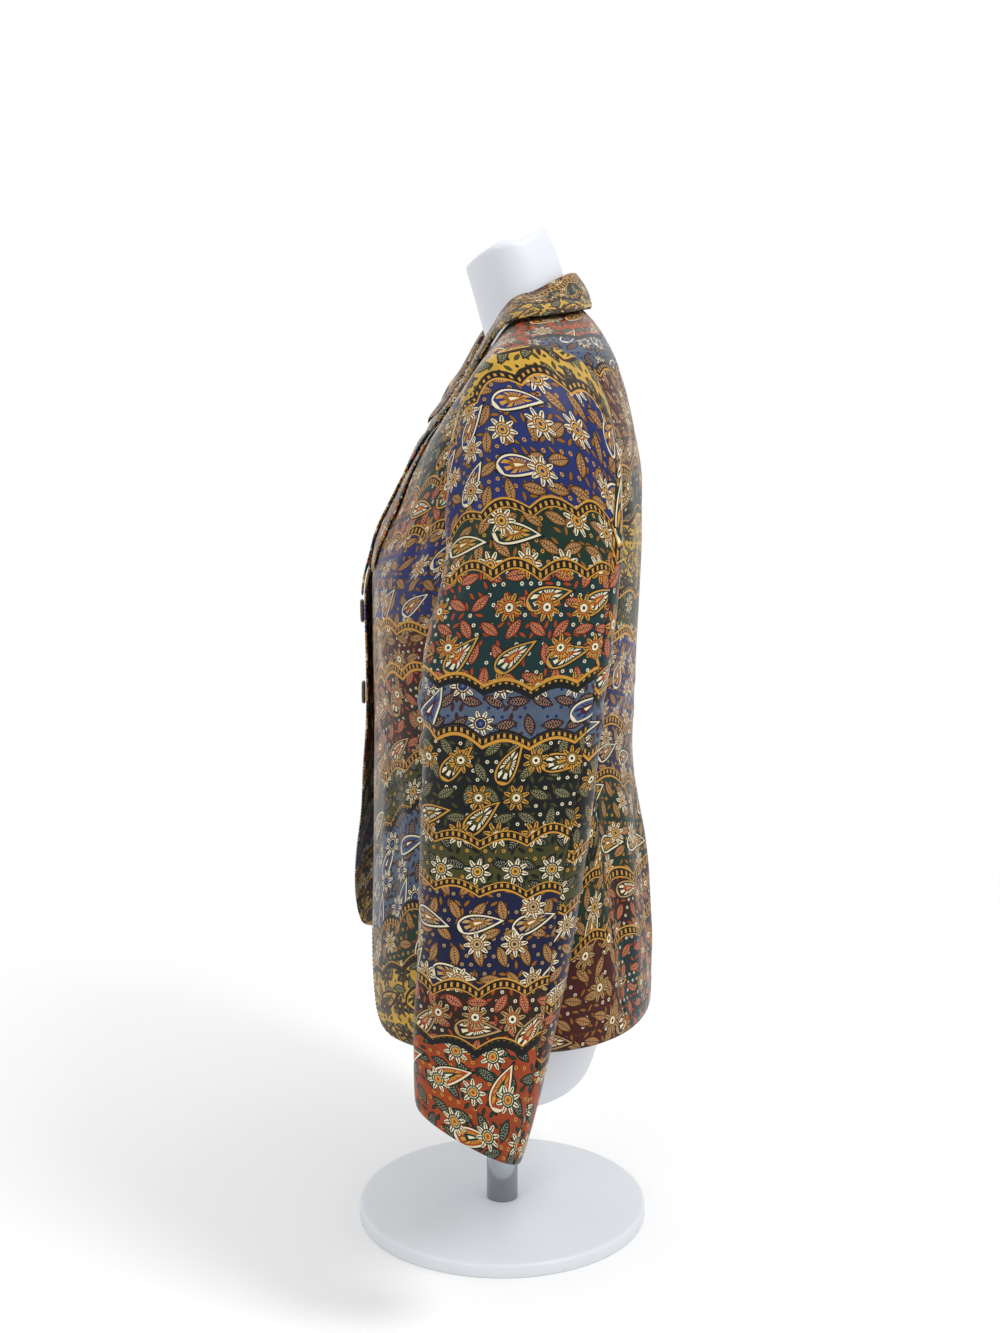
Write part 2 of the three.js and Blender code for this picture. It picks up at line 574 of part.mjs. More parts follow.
const sides = [['left', 1], ['right', -1]];
for (const [word, side] of sides) {
  const front = (a, b) => frontPoint(side, a, b);
  const plain = (a, b) => sidePoint(side, a, b);
  add(`front_${word}`, clothPiece(front, side, frontGrid(side)), '#b08a3a', 0.5);
  add(`side_${word}`, clothPiece(plain, side, sideGrid()), '#9a4a2a', 0.5);
  add(`back_${word}`, clothPiece(plain, side, backGrid()), '#4a4f3a', 0.5);
  const sleeve = sleeveOn(side);
  add(`sleeve_upper_${word}`, clothPiece(sleeve, side,
    sleeveGrid(() => FRONT_SEAM, backSeam, 11, 22)), '#5f6f8c', 0.5);
  add(`sleeve_under_${word}`, clothPiece(sleeve, side,
    sleeveGrid(backSeam, () => 360 + FRONT_SEAM, 9, 22)), '#35406e', 0.5);
  add(`lapel_${word}`, clothPiece(front, side, lapelGrid(side, 3, 12), CLOTH + LAPEL_CLEAR),
    '#23302c', 0.5);
}
add('collar', collarSolid(32, 18), '#6d6a34', 0.5);

const [form, post, base] = [formSolid(32), postSolid(28), baseSolid(40)];
add('form', form, '#eef0f2', 0.3);
add('stand_post', post, '#c9ccd0', 0.3, 0.9);
add('stand_base', base, '#e8e9ea', 0.4);
BUTTON_LEVELS.forEach((level, i) =>
  add(`button_${i + 1}`, buttonSolid(level, 24), '#2b2420', 0.4));

export default group;
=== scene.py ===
# %% [markdown]
# A tailored printed jacket on a limbless white dress form.
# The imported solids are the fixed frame. Each cut piece of cloth is made again as a thin, fine
# shell on the same form, with soft creases, a seam allowance that rounds off at its edges and
# a printed satin finish. Lengths in the tables are millimetres, as a cutter would note them.

# %% Load the frame
import math
import bpy
import numpy as np
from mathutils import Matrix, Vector


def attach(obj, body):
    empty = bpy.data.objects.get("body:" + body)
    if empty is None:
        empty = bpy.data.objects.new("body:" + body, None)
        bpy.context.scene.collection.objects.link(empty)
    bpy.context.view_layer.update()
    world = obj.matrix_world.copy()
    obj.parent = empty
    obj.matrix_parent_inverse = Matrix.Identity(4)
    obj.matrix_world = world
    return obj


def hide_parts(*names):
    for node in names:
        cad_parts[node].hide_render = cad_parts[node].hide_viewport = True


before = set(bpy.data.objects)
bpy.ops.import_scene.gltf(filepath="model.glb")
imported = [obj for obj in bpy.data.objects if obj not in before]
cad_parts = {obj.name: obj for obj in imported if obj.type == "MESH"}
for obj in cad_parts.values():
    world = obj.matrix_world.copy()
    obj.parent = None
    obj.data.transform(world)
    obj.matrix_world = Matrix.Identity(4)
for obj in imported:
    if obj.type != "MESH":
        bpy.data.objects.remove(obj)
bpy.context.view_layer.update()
MM = 0.001
LIFT = 160.0                    # height of the tables' zero over the floor, in mm


def add_object(name, data):
    made = bpy.data.objects.new(name, data)
    bpy.context.scene.collection.objects.link(made)
    return made


# %% [markdown]
# The camera stands at the wearer's left side, a little towards the front, at the height of
# the shoulder, and looks slightly down. A lens of about 47 mm on a 36 mm frame gives the
# mild perspective of a studio picture.

# %% Camera
VIEW_TURN = 4.0
VIEW_DISTANCE = 1.480
EYE_HEIGHT = 0.720
PITCH = 8.69
SENSOR = 36.0
camera = add_object("camera", bpy.data.cameras.new("camera"))
turn = math.radians(VIEW_TURN)
camera.location = (VIEW_DISTANCE * math.cos(turn), -VIEW_DISTANCE * math.sin(turn), EYE_HEIGHT)
pitch = math.radians(PITCH)
gaze = Vector((-math.cos(turn) * math.cos(pitch), math.sin(turn) * math.cos(pitch), -math.sin(pitch)))
camera.rotation_euler = gaze.to_track_quat("-Z", "Y").to_euler()
camera.data.sensor_fit = "VERTICAL"
camera.data.sensor_height = SENSOR
camera.data.lens = SENSOR * 1744 / 1333
camera.data.dof.use_dof = False
bpy.context.scene.camera = camera
print("camera at", tuple(round(c, 3) for c in camera.location))

# %% [markdown]
# The cutter's tables. Each row of a table is a section, and a value between two rows is found
# by a cubic that never swings past them, so a seam drawn through the rows stays calm.

# %% Tables and smooth values between their rows
def smooth(start, end, at):
    t = np.clip((np.asarray(at, float) - start) / (end - start), 0, 1)
    return t * t * (3 - 2 * t)


def mix(a, b, t):
    return a + (b - a) * t


class Table:
    def __init__(self, columns, rows):
        self.names = columns.split()
        self.rows = np.array(rows, float)
        step = np.diff(self.rows, axis=0)
        before, after = step[:-1], step[1:]
        same = before * after > 0
        bend = np.where(same, 2 * before * after / np.where(same, before + after, 1), 0)
        self.slopes = np.vstack([step[:1], bend, step[-1:]])

    def at(self, place):
        place = np.asarray(place, float)
        i = np.clip(np.floor(place).astype(int), 0, len(self.rows) - 2)
        t = (place - i)[..., None]
        a, b = self.rows[i], self.rows[i + 1]
        value = (a + (b - a) * t * t * (3 - 2 * t) + self.slopes[i] * t * (1 - t) ** 2
                 - self.slopes[i + 1] * t * t * (1 - t))
        return dict(zip(self.names, np.moveaxis(value, -1, 0)))


RING_COLUMNS = "zFront zSide zBack half yFront yWide yBack squareFront squareBack"
BODY = Table(RING_COLUMNS, [
    (53, 57, 60, 186, -116, 2, 129, 2.9, 2.4),
    (106, 110, 111, 176, -115, 2, 127, 2.9, 2.4),
    (162, 164, 164, 165, -112.8, 2, 124, 2.8, 2.4),
    (220, 222, 218, 154, -109.8, 2, 117, 2.7, 2.4),
    (282, 284, 280, 146, -108.7, 2, 111.5, 2.6, 2.4),
    (345, 345, 345, 149, -108.5, 2, 113, 2.6, 2.4),
    (400, 385, 400, 153, -109, 4, 115.5, 2.6, 2.4),
    (440, 420, 448, 157, -104, 7, 116.5, 2.7, 2.4),
    (482, 474, 497, 168, -86, 9, 115, 3.2, 2.5),
    (522, 545, 547, 182, -63, 10, 103.5, 4, 2.7),
    (555, 595, 588, 177, -35.5, 11, 91, 4.2, 2.7),
    (583, 613, 621, 134, -19.5, 13, 78, 3, 2.4),
    (603, 631, 640, 63, -8, 18, 63, 2.1, 2),
])
NECK, TIP = 12, 10              # rows of the neck seam and of the shoulder's outer end
print("body sections", len(BODY.rows))

# %% [markdown]
# The body of the jacket is one surface with pattern places: an angle from the front centre
# (0) round to the back centre (180), and a row from the hem (0) to the neck seam (12). A ring
# is a superellipse, which is rounder or boxier by one number.

# %% The body's surface
def ring_point(r, angle):
    s, c = np.sin(np.radians(angle)), np.cos(np.radians(angle))
    front = c > 0
    deep = np.where(front, r["yWide"] - r["yFront"], r["yBack"] - r["yWide"])
    n = np.where(front, r["squareFront"], r["squareBack"])
    reach = (np.abs(s / r["half"]) ** n + np.abs(c / deep) ** n) ** (-1 / n)
    x, y = reach * s, r["yWide"] - reach * c
    end = np.where(front, r["zFront"], r["zBack"])
    return np.stack([x, y, mix(end, r["zSide"], (x / r["half"]) ** 2)], -1)


def body_point(angle, row):
    angle, row = np.broadcast_arrays(np.asarray(angle, float), np.asarray(row, float))
    return ring_point(BODY.at(row), angle)


SEARCH_STEPS = 90


def place_on(axes, wanted, guess):
    """Pattern places whose points have the two wanted coordinates."""
    angle, row = (np.array(g, float) for g in guess)
    step = 0.01
    for _ in range(SEARCH_STEPS):
        here = body_point(angle, row)
        m = [here[..., a] - w for a, w in zip(axes, wanted)]
        turned, raised = body_point(angle + step, row), body_point(angle, row + step)
        j = [(p[..., a] - here[..., a]) / step for a in axes for p in (turned, raised)]
        det = j[0] * j[3] - j[1] * j[2]
        det = np.where(np.abs(det) < 1e-9, 1e-9, det)
        angle = angle - np.clip((m[0] * j[3] - m[1] * j[1]) / det, -2, 2)
        row = row - np.clip((m[1] * j[0] - m[0] * j[2]) / det, -0.12, 0.12)
        row = np.clip(row, 0, NECK)
    return np.stack([angle, row], -1)


def through(places):
    line = Table("angle row", places)

    def run(t):
        p = line.at(np.asarray(t, float) * (len(line.rows) - 1))
        return np.stack([p["angle"], p["row"]], -1)
    return run


def joined(parts):
    """Curves one after another, each with its own number of the panel's rows."""
    def run(t):
        at, start, out = np.asarray(t, float) * sum(rows for _, rows in parts), 0, None
        for curve, rows in parts:
            piece = curve(np.clip((at - start) / rows, 0, 1))
            out = piece if out is None else np.where((at >= start)[..., None], piece, out)
            start += rows
        return out
    return run


def straight(a, b):
    a, b = np.array(a, float), np.array(b, float)
    return lambda t: a + (b - a) * np.asarray(t, float)[..., None]


print("hem at the front centre", body_point(0, 0).round(1))

# %% [markdown]
# Lines drawn on the body: the armhole is a loop in the side view, the front edge runs from
# the rounded hem corner to the break of the lapel, and the roll line goes on to the neck.

# %% Armhole, front edge, roll line and seams
ARM_Y, ARM_Z, ARM_HALF_Y, ARM_HALF_Z, ARM_SQUARE = 11.5, 504.6, 57.5, 94.6, 2.5
ARM_STEPS, TURN_OVER = 72, 15
TOP_STEP = ARM_STEPS // 4


def roundness(turn, n):
    t = np.radians(turn)
    return (np.abs(np.cos(t)) ** n + np.abs(np.sin(t)) ** n) ** (-1 / n)


arm_ring = np.zeros((ARM_STEPS, 2))
for way in (1, -1):
    place = np.array([90, 6.7])
    for k in range(ARM_STEPS // 2):
        i = (3 * TOP_STEP + way * k) % ARM_STEPS
        left = ARM_STEPS // 2 - k
        if left >= TURN_OVER:
            at = i * 360 / ARM_STEPS
            size = roundness(at, ARM_SQUARE)
            place = place_on((1, 2), (ARM_Y - ARM_HALF_Y * size * math.cos(math.radians(at)),
                                      ARM_Z + ARM_HALF_Z * size * math.sin(math.radians(at))), place)
        share = max(0, 1 - left / TURN_OVER)
        arm_ring[i] = mix(place, np.array([90, TIP]), share)
arm_ring[TOP_STEP] = (90, TIP)


def on_armhole(turn):
    at = np.mod(np.asarray(turn, float), 360) / (360 / ARM_STEPS)
    i = np.floor(at).astype(int) % ARM_STEPS
    return mix(arm_ring[i], arm_ring[(i + 1) % ARM_STEPS], (at - np.floor(at))[..., None])


FRONT_EDGE = np.array([
    (132, 55), (113, 58), (98, 65), (88, 78), (79, 97), (69, 122), (57, 150), (44, 185),
    (30, 220), (14, 250), (-2, 275), (-13, 300), (-18, 330), (-18, 362), (-18, 392)], float)
ROLL = np.array([
    (-18, 392), (-6, 405), (8, 420), (19, 437), (29, 458), (38, 485), (46, 515),
    (52, 544), (56.5, 563), (60.5, 588), (63, 612)], float)
FRONT_SIDE_SEAM = np.array([(-26, 57), (-24, 140), (-22, 284), (-22, 360)], float)
SIDE_BACK_SEAM = np.array([
    (92, 58.2), (84, 120), (72, 200), (68, 284), (78, 345), (86, 410), (74, 450)], float)
NECK_POINT = (90, NECK)
GORGE = 7
FRONT_UNDERARM, BACK_UNDERARM = 308, 206
SEAM_ROWS, FRONT_ROWS, BACK_ROWS, WIDTH, SIDE_WIDTH = 16, 13, 7, 9, 5
RIGHT_HEM_RISE = 14


def place_front(rows, rise=0):
    rows = np.asarray(rows, float)
    guess = (rows[..., 0] * 0.5, mix(0, 6, rows[..., 1] / 400))
    return place_on((0, 2), (rows[..., 0], rows[..., 1] + rise), guess)


def place_side(rows):
    guess = (90 + rows[..., 0] * 0.6, mix(0, 6, rows[..., 1] / 400))
    return place_on((1, 2), (rows[..., 0], rows[..., 1]), guess)


front_side_seam = through(np.vstack([place_side(FRONT_SIDE_SEAM), on_armhole(FRONT_UNDERARM)]))
side_back_seam = through(np.vstack([place_side(SIDE_BACK_SEAM), on_armhole(BACK_UNDERARM)]))
print("armhole and seams placed")

# %% [markdown]
# The cut of each panel is the area between four lines. The panel is filled with pattern
# places, much finer than the frame's facets, so that the cloth can carry small creases.

# %% Panels as grids of pattern places
FINE = 6


def fill(bottom, top, left, right, cols, rows):
    s, t = np.linspace(0, 1, cols + 1), np.linspace(0, 1, rows + 1)
    across, along = s[None, :, None], t[:, None, None]
    corners = mix(mix(bottom(0), bottom(1), across), mix(top(0), top(1), across), along)
    return (mix(bottom(s)[None], top(s)[None], along)
            + mix(left(t)[:, None], right(t)[:, None], across) - corners)


def armhole_front(t):
    return on_armhole(mix(FRONT_UNDERARM, 450, np.asarray(t, float)))


def armhole_back(t):
    return on_armhole(mix(BACK_UNDERARM, 90, np.asarray(t, float)))


def front_edge_line(side):
    rise = (RIGHT_HEM_RISE if side < 0 else 0) * smooth(10, 1, np.arange(len(FRONT_EDGE)))
    return through(place_front(FRONT_EDGE, rise))


roll_line = through(np.vstack([place_front(ROLL), NECK_POINT]))


def front_grid(side):
    left = joined([(front_edge_line(side), SEAM_ROWS), (roll_line, FRONT_ROWS)])
    right = joined([(front_side_seam, SEAM_ROWS), (armhole_front, FRONT_ROWS)])
    return fill(straight(left(0), right(0)), straight(NECK_POINT, (90, TIP)), left, right,
                WIDTH * FINE, (SEAM_ROWS + FRONT_ROWS) * FINE)


def side_grid():
    def top(s):
        return on_armhole(mix(FRONT_UNDERARM, BACK_UNDERARM, np.asarray(s, float)))
    return fill(straight(front_side_seam(0), side_back_seam(0)), top,
                front_side_seam, side_back_seam, SIDE_WIDTH * FINE, SEAM_ROWS * FINE)


def back_grid():
    underarm = (180, on_armhole(BACK_UNDERARM)[1])
    counts = (SEAM_ROWS, BACK_ROWS, WIDTH)
    side = (side_back_seam, armhole_back, straight((90, TIP), NECK_POINT))
    centre = (straight((180, 0), underarm), straight(underarm, (180, TIP)),
              straight((180, TIP), (180, NECK)))
    return fill(straight(side_back_seam(0), (180, 0)), straight(NECK_POINT, (180, NECK)),
                joined(list(zip(side, counts))), joined(list(zip(centre, counts))),
                WIDTH * FINE, sum(counts) * FINE)


print("rows from hem to underarm", SEAM_ROWS * FINE)

# %% [markdown]
# The right front laps over the left one. Sleeves are rings in a slanting tube that starts at
# the armhole and bends a little at the elbow, cut in an upper and an under piece.

# %% Front and sleeve surfaces
CLOTH, SEAM_GAP = 2.0, 0.3


def mirrored(p, side):
    return p * np.array([side, 1, 1])


def front_surface(side):
    def surface(angle, row):
        p = body_point(angle, row)
        if side < 0:
            x, z = p[..., 0], p[..., 2]
            lap = smooth(50, 22, x) * (CLOTH + SEAM_GAP)
            swing = 4 * smooth(440, 395, z) + 13 * smooth(300, 110, z)
            p[..., 1] -= np.where(np.broadcast_to(angle, x.shape) < 90,
                                  lap + swing * smooth(150, 75, x), 0)
        return mirrored(p, side)
    return surface


def plain_surface(side):
    return lambda angle, row: mirrored(body_point(angle, row), side)


SLEEVE = Table("xIn zIn xOut zOut yFront yBack drop square backSeam", [
    (157.5, 410.5, 179, 600, -46, 69, 0, 2.5, 150),
    (159, 411.5, 197, 599, -48, 70.5, 0, 2.5, 150),
    (160.5, 412, 214, 584, -49, 71.5, 0, 2.5, 150),
    (162, 411.5, 227, 561, -49, 72.5, 0, 2.4, 150),
    (163.5, 409.5, 234, 524, -50, 73, 0, 2.3, 149),
    (164.5, 406, 237, 482, -52, 73, 0, 2.3, 148),
    (165.5, 400, 239, 442, -57, 72, 0, 2.3, 147),
    (166.5, 390, 240, 404, -64, 69.5, 0, 2.3, 146),
    (167.5, 366, 241.5, 370, -69, 66, 0, 2.3, 145),
    (169, 335, 243, 336, -70.5, 61.5, 0, 2.3, 142),
    (171, 300, 246, 300, -71, 56.5, 0, 2.3, 139),
    (174, 260, 249, 260, -72, 52, 0, 2.3, 136),
    (178, 220, 252, 220, -73, 47, 0, 2.3, 133),
    (182, 180, 254, 180, -74.5, 41, 0, 2.3, 132),
    (185.5, 140, 255, 140, -76, 34, 3, 2.3, 133),
    (188, 100, 256, 100, -78, 25, 12, 2.3, 136),
    (190, 60, 256, 60, -78.5, 14, 27, 2.3, 138),
    (191.5, 35, 255.5, 35, -78.5, 6, 38, 2.3, 140),
    (193, 12.5, 254.5, 12.5, -78, -1.5, 46, 2.3, 141),
])
SLEEVE_CLEAR, SLEEVE_BLEND, FRONT_SEAM = 2.2, 1.6, -24
CUFF_ROW = len(SLEEVE.rows) - 1


def sleeve_surface(side):
    def surface(turn, row):
        turn, row = np.broadcast_arrays(np.asarray(turn, float), np.asarray(row, float))
        r = SLEEVE.at(row)
        k = roundness(turn, r["square"])
        deep, out = -k * np.cos(np.radians(turn)), k * np.sin(np.radians(turn))
        ring = np.stack([mix(r["xIn"], r["xOut"], (1 + out) / 2),
                         mix(r["yFront"], r["yBack"], (1 + deep) / 2),
                         mix(r["zIn"], r["zOut"], (1 + out) / 2) - r["drop"] * deep / 2], -1)
        place = on_armhole(turn)
        start = body_point(place[..., 0], place[..., 1]) + np.array([SLEEVE_CLEAR, 0, 0])
        share = np.clip(row / SLEEVE_BLEND, 0, 1)[..., None]
        return mirrored(mix(start, ring, share * (2 - share)), side)
    return surface


def sleeve_grid(upper):
    row = np.linspace(0, CUFF_ROW, 22 * FINE + 1)[:, None]
    back = SLEEVE.at(row)["backSeam"]
    first, last = (FRONT_SEAM, back) if upper else (back, 360 + FRONT_SEAM)
    turn = mix(first, last, np.linspace(0, 1, (11 if upper else 9) * FINE + 1)[None, :])
    return np.stack([turn, np.broadcast_to(row, turn.shape)], -1)


print("sleeve sections", len(SLEEVE.rows))

# %% [markdown]
# The collar stands up from the neck seam, folds over and falls on the panels. The lapel is
# the front turned back on itself, a narrow leaf that lies just off the front's face.

# %% Collar and lapel
def normal_of(surface, a, b, side=1):
    across = surface(a + 0.4, b) - surface(a - 0.4, b)
    along = surface(a, b + 0.02) - surface(a, b - 0.02)
    n = np.cross(across, along)
    return side * n / np.linalg.norm(n, axis=-1, keepdims=True)


def unit(v):
    return v / np.linalg.norm(v, axis=-1, keepdims=True)


def dot(a, b):
    return (a * b).sum(-1, keepdims=True)


COLLAR = Table("stand lean round edgeAngle edgeRow off", [
    (22.5, 3, 2.3, 180, 11.49, 6),
    (21.5, 5.5, 2.3, 150, 11.54, 5.5),
    (18, 7, 2.3, 126, 11.5, 4.5),
    (10, 6, 2.2, 96, 11.44, 3.4),
    (5, 3, 1.8, 78, 11.2, 2.8),
    (4, 1.5, 1.5, 69, 10.62, 2.4),
    (3.8, 1, 1.5, 60, 9.71, 2.4),
    (3.8, 1, 1.5, 53.5, 9.25, 3),
])
neckline = through(np.vstack([[(180, NECK), (150, NECK), (120, NECK), NECK_POINT],
                              place_front(ROLL[GORGE:][::-1])]))
FALL_BELLY, COLLAR_CLEAR = 2.2, 0.5
HAIRPIN = [(-1, 0), (-0.71, 0.71), (0, 1), (0.71, 0.71), (1, 0)]


def collar_lines(s):
    """The section's corner points for each station s, from the seam to the fall's edge."""
    t = np.abs(s)
    st = {k: v[..., None] for k, v in COLLAR.at(t * (len(COLLAR.rows) - 1)).items()}
    place = neckline(t)
    face = normal_of(body_point, place[..., 0], place[..., 1])
    seam = body_point(place[..., 0], place[..., 1]) + face * (CLOTH / 2 + COLLAR_CLEAR)
    before, after = neckline(np.clip(t - 0.01, 0, 1)), neckline(np.clip(t + 0.01, 0, 1))
    run = unit(body_point(after[..., 0], after[..., 1]) - body_point(before[..., 0], before[..., 1]))
    rise = mix(np.array([0, 0, 1.0]), face, smooth(0.3, 0.6, t)[..., None])
    rise = unit(rise - run * dot(rise, run))
    fold = seam + rise * st["stand"] + np.cross(run, rise) * st["lean"]
    ea, er = st["edgeAngle"][..., 0], st["edgeRow"][..., 0]
    edge = body_point(ea, er) + normal_of(body_point, ea, er) * (st["off"] + SEAM_GAP)
    up = unit(unit(fold - seam) - unit(edge - fold))
    out = edge - seam
    out = unit(out - up * dot(out, up))
    middle = fold - up * st["round"]
    bend = [middle + out * o * st["round"] + up * u * st["round"] for o, u in HAIRPIN]
    down = unit(edge - bend[-1])

    def belly(share):
        return mix(bend[-1], edge, share) + (up * dot(down, out) - out * dot(down, up)) * FALL_BELLY
    lines = [seam, mix(seam, bend[0], 0.5), *bend, belly(0.35), belly(0.7), edge]
    return np.stack(lines, 0) * np.where(s < 0, -1, 1)[None, :, None] ** np.array([1, 0, 0])


LAPEL_WIDTH, LAPEL_CLEAR, LAPEL_LEAN = 38, 0.6, np.array([0.91, -0.42])
LAPEL_START = {1: 0.36, -1: 0.08}


def lapel_grid(side):
    line = through(place_front(ROLL[:GORGE + 1]))
    t = mix(LAPEL_START[side], 0.985, np.linspace(0, 1, 12 * FINE + 1))
    inner = line(t)
    here = body_point(inner[:, 0], inner[:, 1])
    width = np.maximum(4, LAPEL_WIDTH * smooth(-0.15, 0.75, t))[:, None]
    edge = place_front(here[:, [0, 2]] + width * LAPEL_LEAN)
    share = np.linspace(0, 1, 3 * FINE + 1)[None, :, None]
    return mix(inner[:, None], edge[:, None], share)


print("collar sections", len(COLLAR.rows))

# %% [markdown]
# Silk folds softly. Each crease is a line on the cloth with a width and a depth: a trough with
# a low ridge beside it, fading at both ends. They are placed one by one where the garment bends
# or pulls: from the button, over the hips, at the armhole and in the bend of the elbow.

# %% Creases
# Each crease: angle and row of its two ends, then its width and depth in mm.
BODY_CREASES = [
    (14, 4.7, 62, 5.3, 8, 1.3), (12, 4.4, 50, 3.6, 8, 1.5), (76, 0.4, 70, 3.7, 10, 2.2),
    (52, 1.3, 47, 4.0, 10, 1.7), (101, 0.2, 104, 3.9, 10, 2.6), (124, 0.0, 121, 4.1, 11, 3.2),
    (149, 0.0, 145, 3.7, 12, 3.0), (168, 0.1, 165, 3.5, 11, 2.0), (108, 4.3, 162, 4.6, 7, 1.7),
    (116, 5.0, 152, 5.2, 6, 1.2), (64, 8.2, 50, 6.5, 8, 1.6), (113, 8.3, 130, 7.0, 9, 1.9),
    (132, 10.1, 128, 8.5, 10, 1.3), (40, 8.8, 34, 7.4, 9, 0.9), (158, 9.0, 150, 7.2, 12, 1.3),
]
SLEEVE_CREASES = [
    (-18, 8.7, 46, 9.2, 7, 2.4), (-16, 9.9, 40, 9.7, 6, 1.9), (-10, 11.0, 30, 10.5, 6, 1.4),
    (22, 1.3, 6, 5.2, 8, 2.2), (150, 2.2, 166, 6.2, 9, 2.2), (62, 5.2, 116, 9.4, 12, 1.4),
    (128, 8.8, 176, 9.6, 8, 1.7), (120, 10.2, 170, 10.4, 7, 1.3), (70, 14.6, 96, 17.2, 10, 1.0),
    (44, 12.4, 58, 15.6, 12, 1.1), (250, 3.0, 255, 7.5, 9, 1.6), (300, 6.0, 250, 8.8, 8, 1.5),
    (96, 1.4, 88, 3.6, 10, 0.9), (12, 13.0, 24, 16.5, 9, 1.0),
]
CREASE_STEPS = 9
TROUGH, RIDGE, RIDGE_AT, RIPPLE = 1.25, 0.6, 1.9, 0.6


def crease_field(rows, surface, side):
    """How far out the cloth lies at each point, in millimetres, from all its creases."""
    share = np.linspace(0, 1, CREASE_STEPS)
    uneven = 0 if side > 0 else 1
    lines = []
    for i, (turn1, row1, turn2, row2, width, depth) in enumerate(rows):
        shift = uneven * (2.5 if i % 2 else -3.0)
        path = surface(mix(turn1, turn2, share) + shift, mix(row1, row2, share) + uneven * 0.12)
        lines.append((path, width, depth * (0.75 if uneven and i % 3 == 0 else 1)))

    def field(points):
        out = np.zeros(points.shape[:-1])
        for path, width, depth in lines:
            near = np.full(points.shape[:-1], 1e9)
            along = np.zeros(points.shape[:-1])
            for k in range(CREASE_STEPS - 1):
                step = path[k + 1] - path[k]
                t = np.clip(((points - path[k]) @ step) / (step @ step), 0, 1)
                d = np.linalg.norm(points - path[k] - t[..., None] * step, axis=-1)
                along = np.where(d < near, (k + t) / (CREASE_STEPS - 1), along)
                near = np.minimum(d, near)
            fade = smooth(0, 0.3, along) * smooth(1, 0.7, along)
            trough = TROUGH * np.exp(-(near / width) ** 2)
            ridge = RIDGE * np.exp(-((near - RIDGE_AT * width) / width) ** 2)
            out += depth * fade * (ridge - trough)
        x, y, z = points[..., 0], points[..., 1], points[..., 2]
        ripple = np.sin(z / 31 + y / 47 + side) * np.cos(y / 23 - z / 58 + x / 90)
        return out + RIPPLE * ripple
    return field


print("creases", len(BODY_CREASES), "on the body,", len(SLEEVE_CREASES), "on a sleeve")

# %% [markdown]
# A shell is the outer face of a panel and its inner face, joined round the border. The border
# is drawn in and thinned, as a seam allowance rounds off when it is pressed, so every seam
# reads as a fine groove. The cut's own lengths become its UV map, in metres.

# %% Making a shell
def save_mesh(name, points, faces, uv=None):
    data = bpy.data.meshes.new(name)
    data.from_pydata(((points + np.array([0, 0, LIFT])) * MM).tolist(), [], faces)
    if uv is not None:
        layer = data.uv_layers.new(name="cut")
        loops = np.zeros(len(data.loops), int)
        data.loops.foreach_get("vertex_index", loops)
        layer.data.foreach_set("uv", uv[loops].astype(np.float32).ravel())
    data.polygons.foreach_set("use_smooth", np.ones(len(faces), bool))
    data.update()
    return add_object(name, data)


def volume_of(points, quads):
    a, b, c, d = (points[quads[:, k]] for k in range(4))
    return (np.einsum("ij,ij->i", a, np.cross(b, c)) + np.einsum("ij,ij->i", a, np.cross(c, d))).sum()


def lengths_of(face, from_top):
    """The cut's own lengths: across from the first column, along from the hem or cuff."""
    across = np.linalg.norm(np.diff(face, axis=1), axis=-1)
    along = np.linalg.norm(np.diff(face, axis=0), axis=-1).mean(1)
    u = np.concatenate([np.zeros((len(face), 1)), np.cumsum(across, 1)], 1)
    v = np.concatenate([[0], np.cumsum(along)])
    v = v[-1] - v if from_top else v
    return np.stack([u, np.broadcast_to(v[:, None], u.shape)], -1)


def note_cut(name, face, width, length):
    """Keeps a sheet's greatest width and length in metres and its area in square metres."""
    across, along = face[:-1, 1:] - face[:-1, :-1], face[1:, :-1] - face[:-1, :-1]
    area = np.linalg.norm(np.cross(along, across), axis=-1).sum() * MM * MM
    cuts[name] = (round(float(width * MM), 3), round(float(length * MM), 3), round(float(area), 4))


def two_faces(name, outer, inner, uv):
    """A closed shell between two grids of points."""
    rows, cols = outer.shape[:2]
    points = np.concatenate([outer.reshape(-1, 3), inner.reshape(-1, 3)])
    index = np.arange(rows * cols).reshape(rows, cols)
    a, b, c, d = index[:-1, :-1], index[:-1, 1:], index[1:, 1:], index[1:, :-1]
    front = np.stack([a, b, c, d], -1).reshape(-1, 4)
    back = front[:, ::-1] + rows * cols
    rim = np.concatenate([index[0], index[1:, -1], index[-1, -2::-1], index[-2:0:-1, 0]])
    nxt = np.roll(rim, -1)
    wall = np.stack([rim, rim + rows * cols, nxt + rows * cols, nxt], -1)
    quads = np.concatenate([front, back, wall])
    if volume_of(points, quads) < 0:
        quads = quads[:, ::-1]
    return save_mesh(name, points, quads.tolist(), np.concatenate([uv.reshape(-1, 2)] * 2) * MM)


RIM_SHARES = (0.32, 0.08)       # how far each face is drawn in on the two outermost rows


def rim_shares(rows, cols):
    i, j = (np.minimum(np.arange(n), np.arange(n)[::-1]) for n in (rows, cols))
    depth = np.minimum(i[:, None], j[None, :])
    return np.select([depth == k for k in range(len(RIM_SHARES))], RIM_SHARES, 0.0)


def draw_in(face, by=SEAM_GAP / 2):
    out = face.copy()
    for axis in (0, 1):
        for end, step in ((0, 1), (-1, -2)):
            first, second = np.take(face, end, axis), np.take(face, step, axis)
            move = unit(second - first + 1e-9) * by
            if axis == 0:
                out[end] += move
            else:
                out[:, end] += move
    return out


RIGHT_CUT = 1037                # the right side is cut this far along the printed cloth
cuts, faces_of = {}, {}


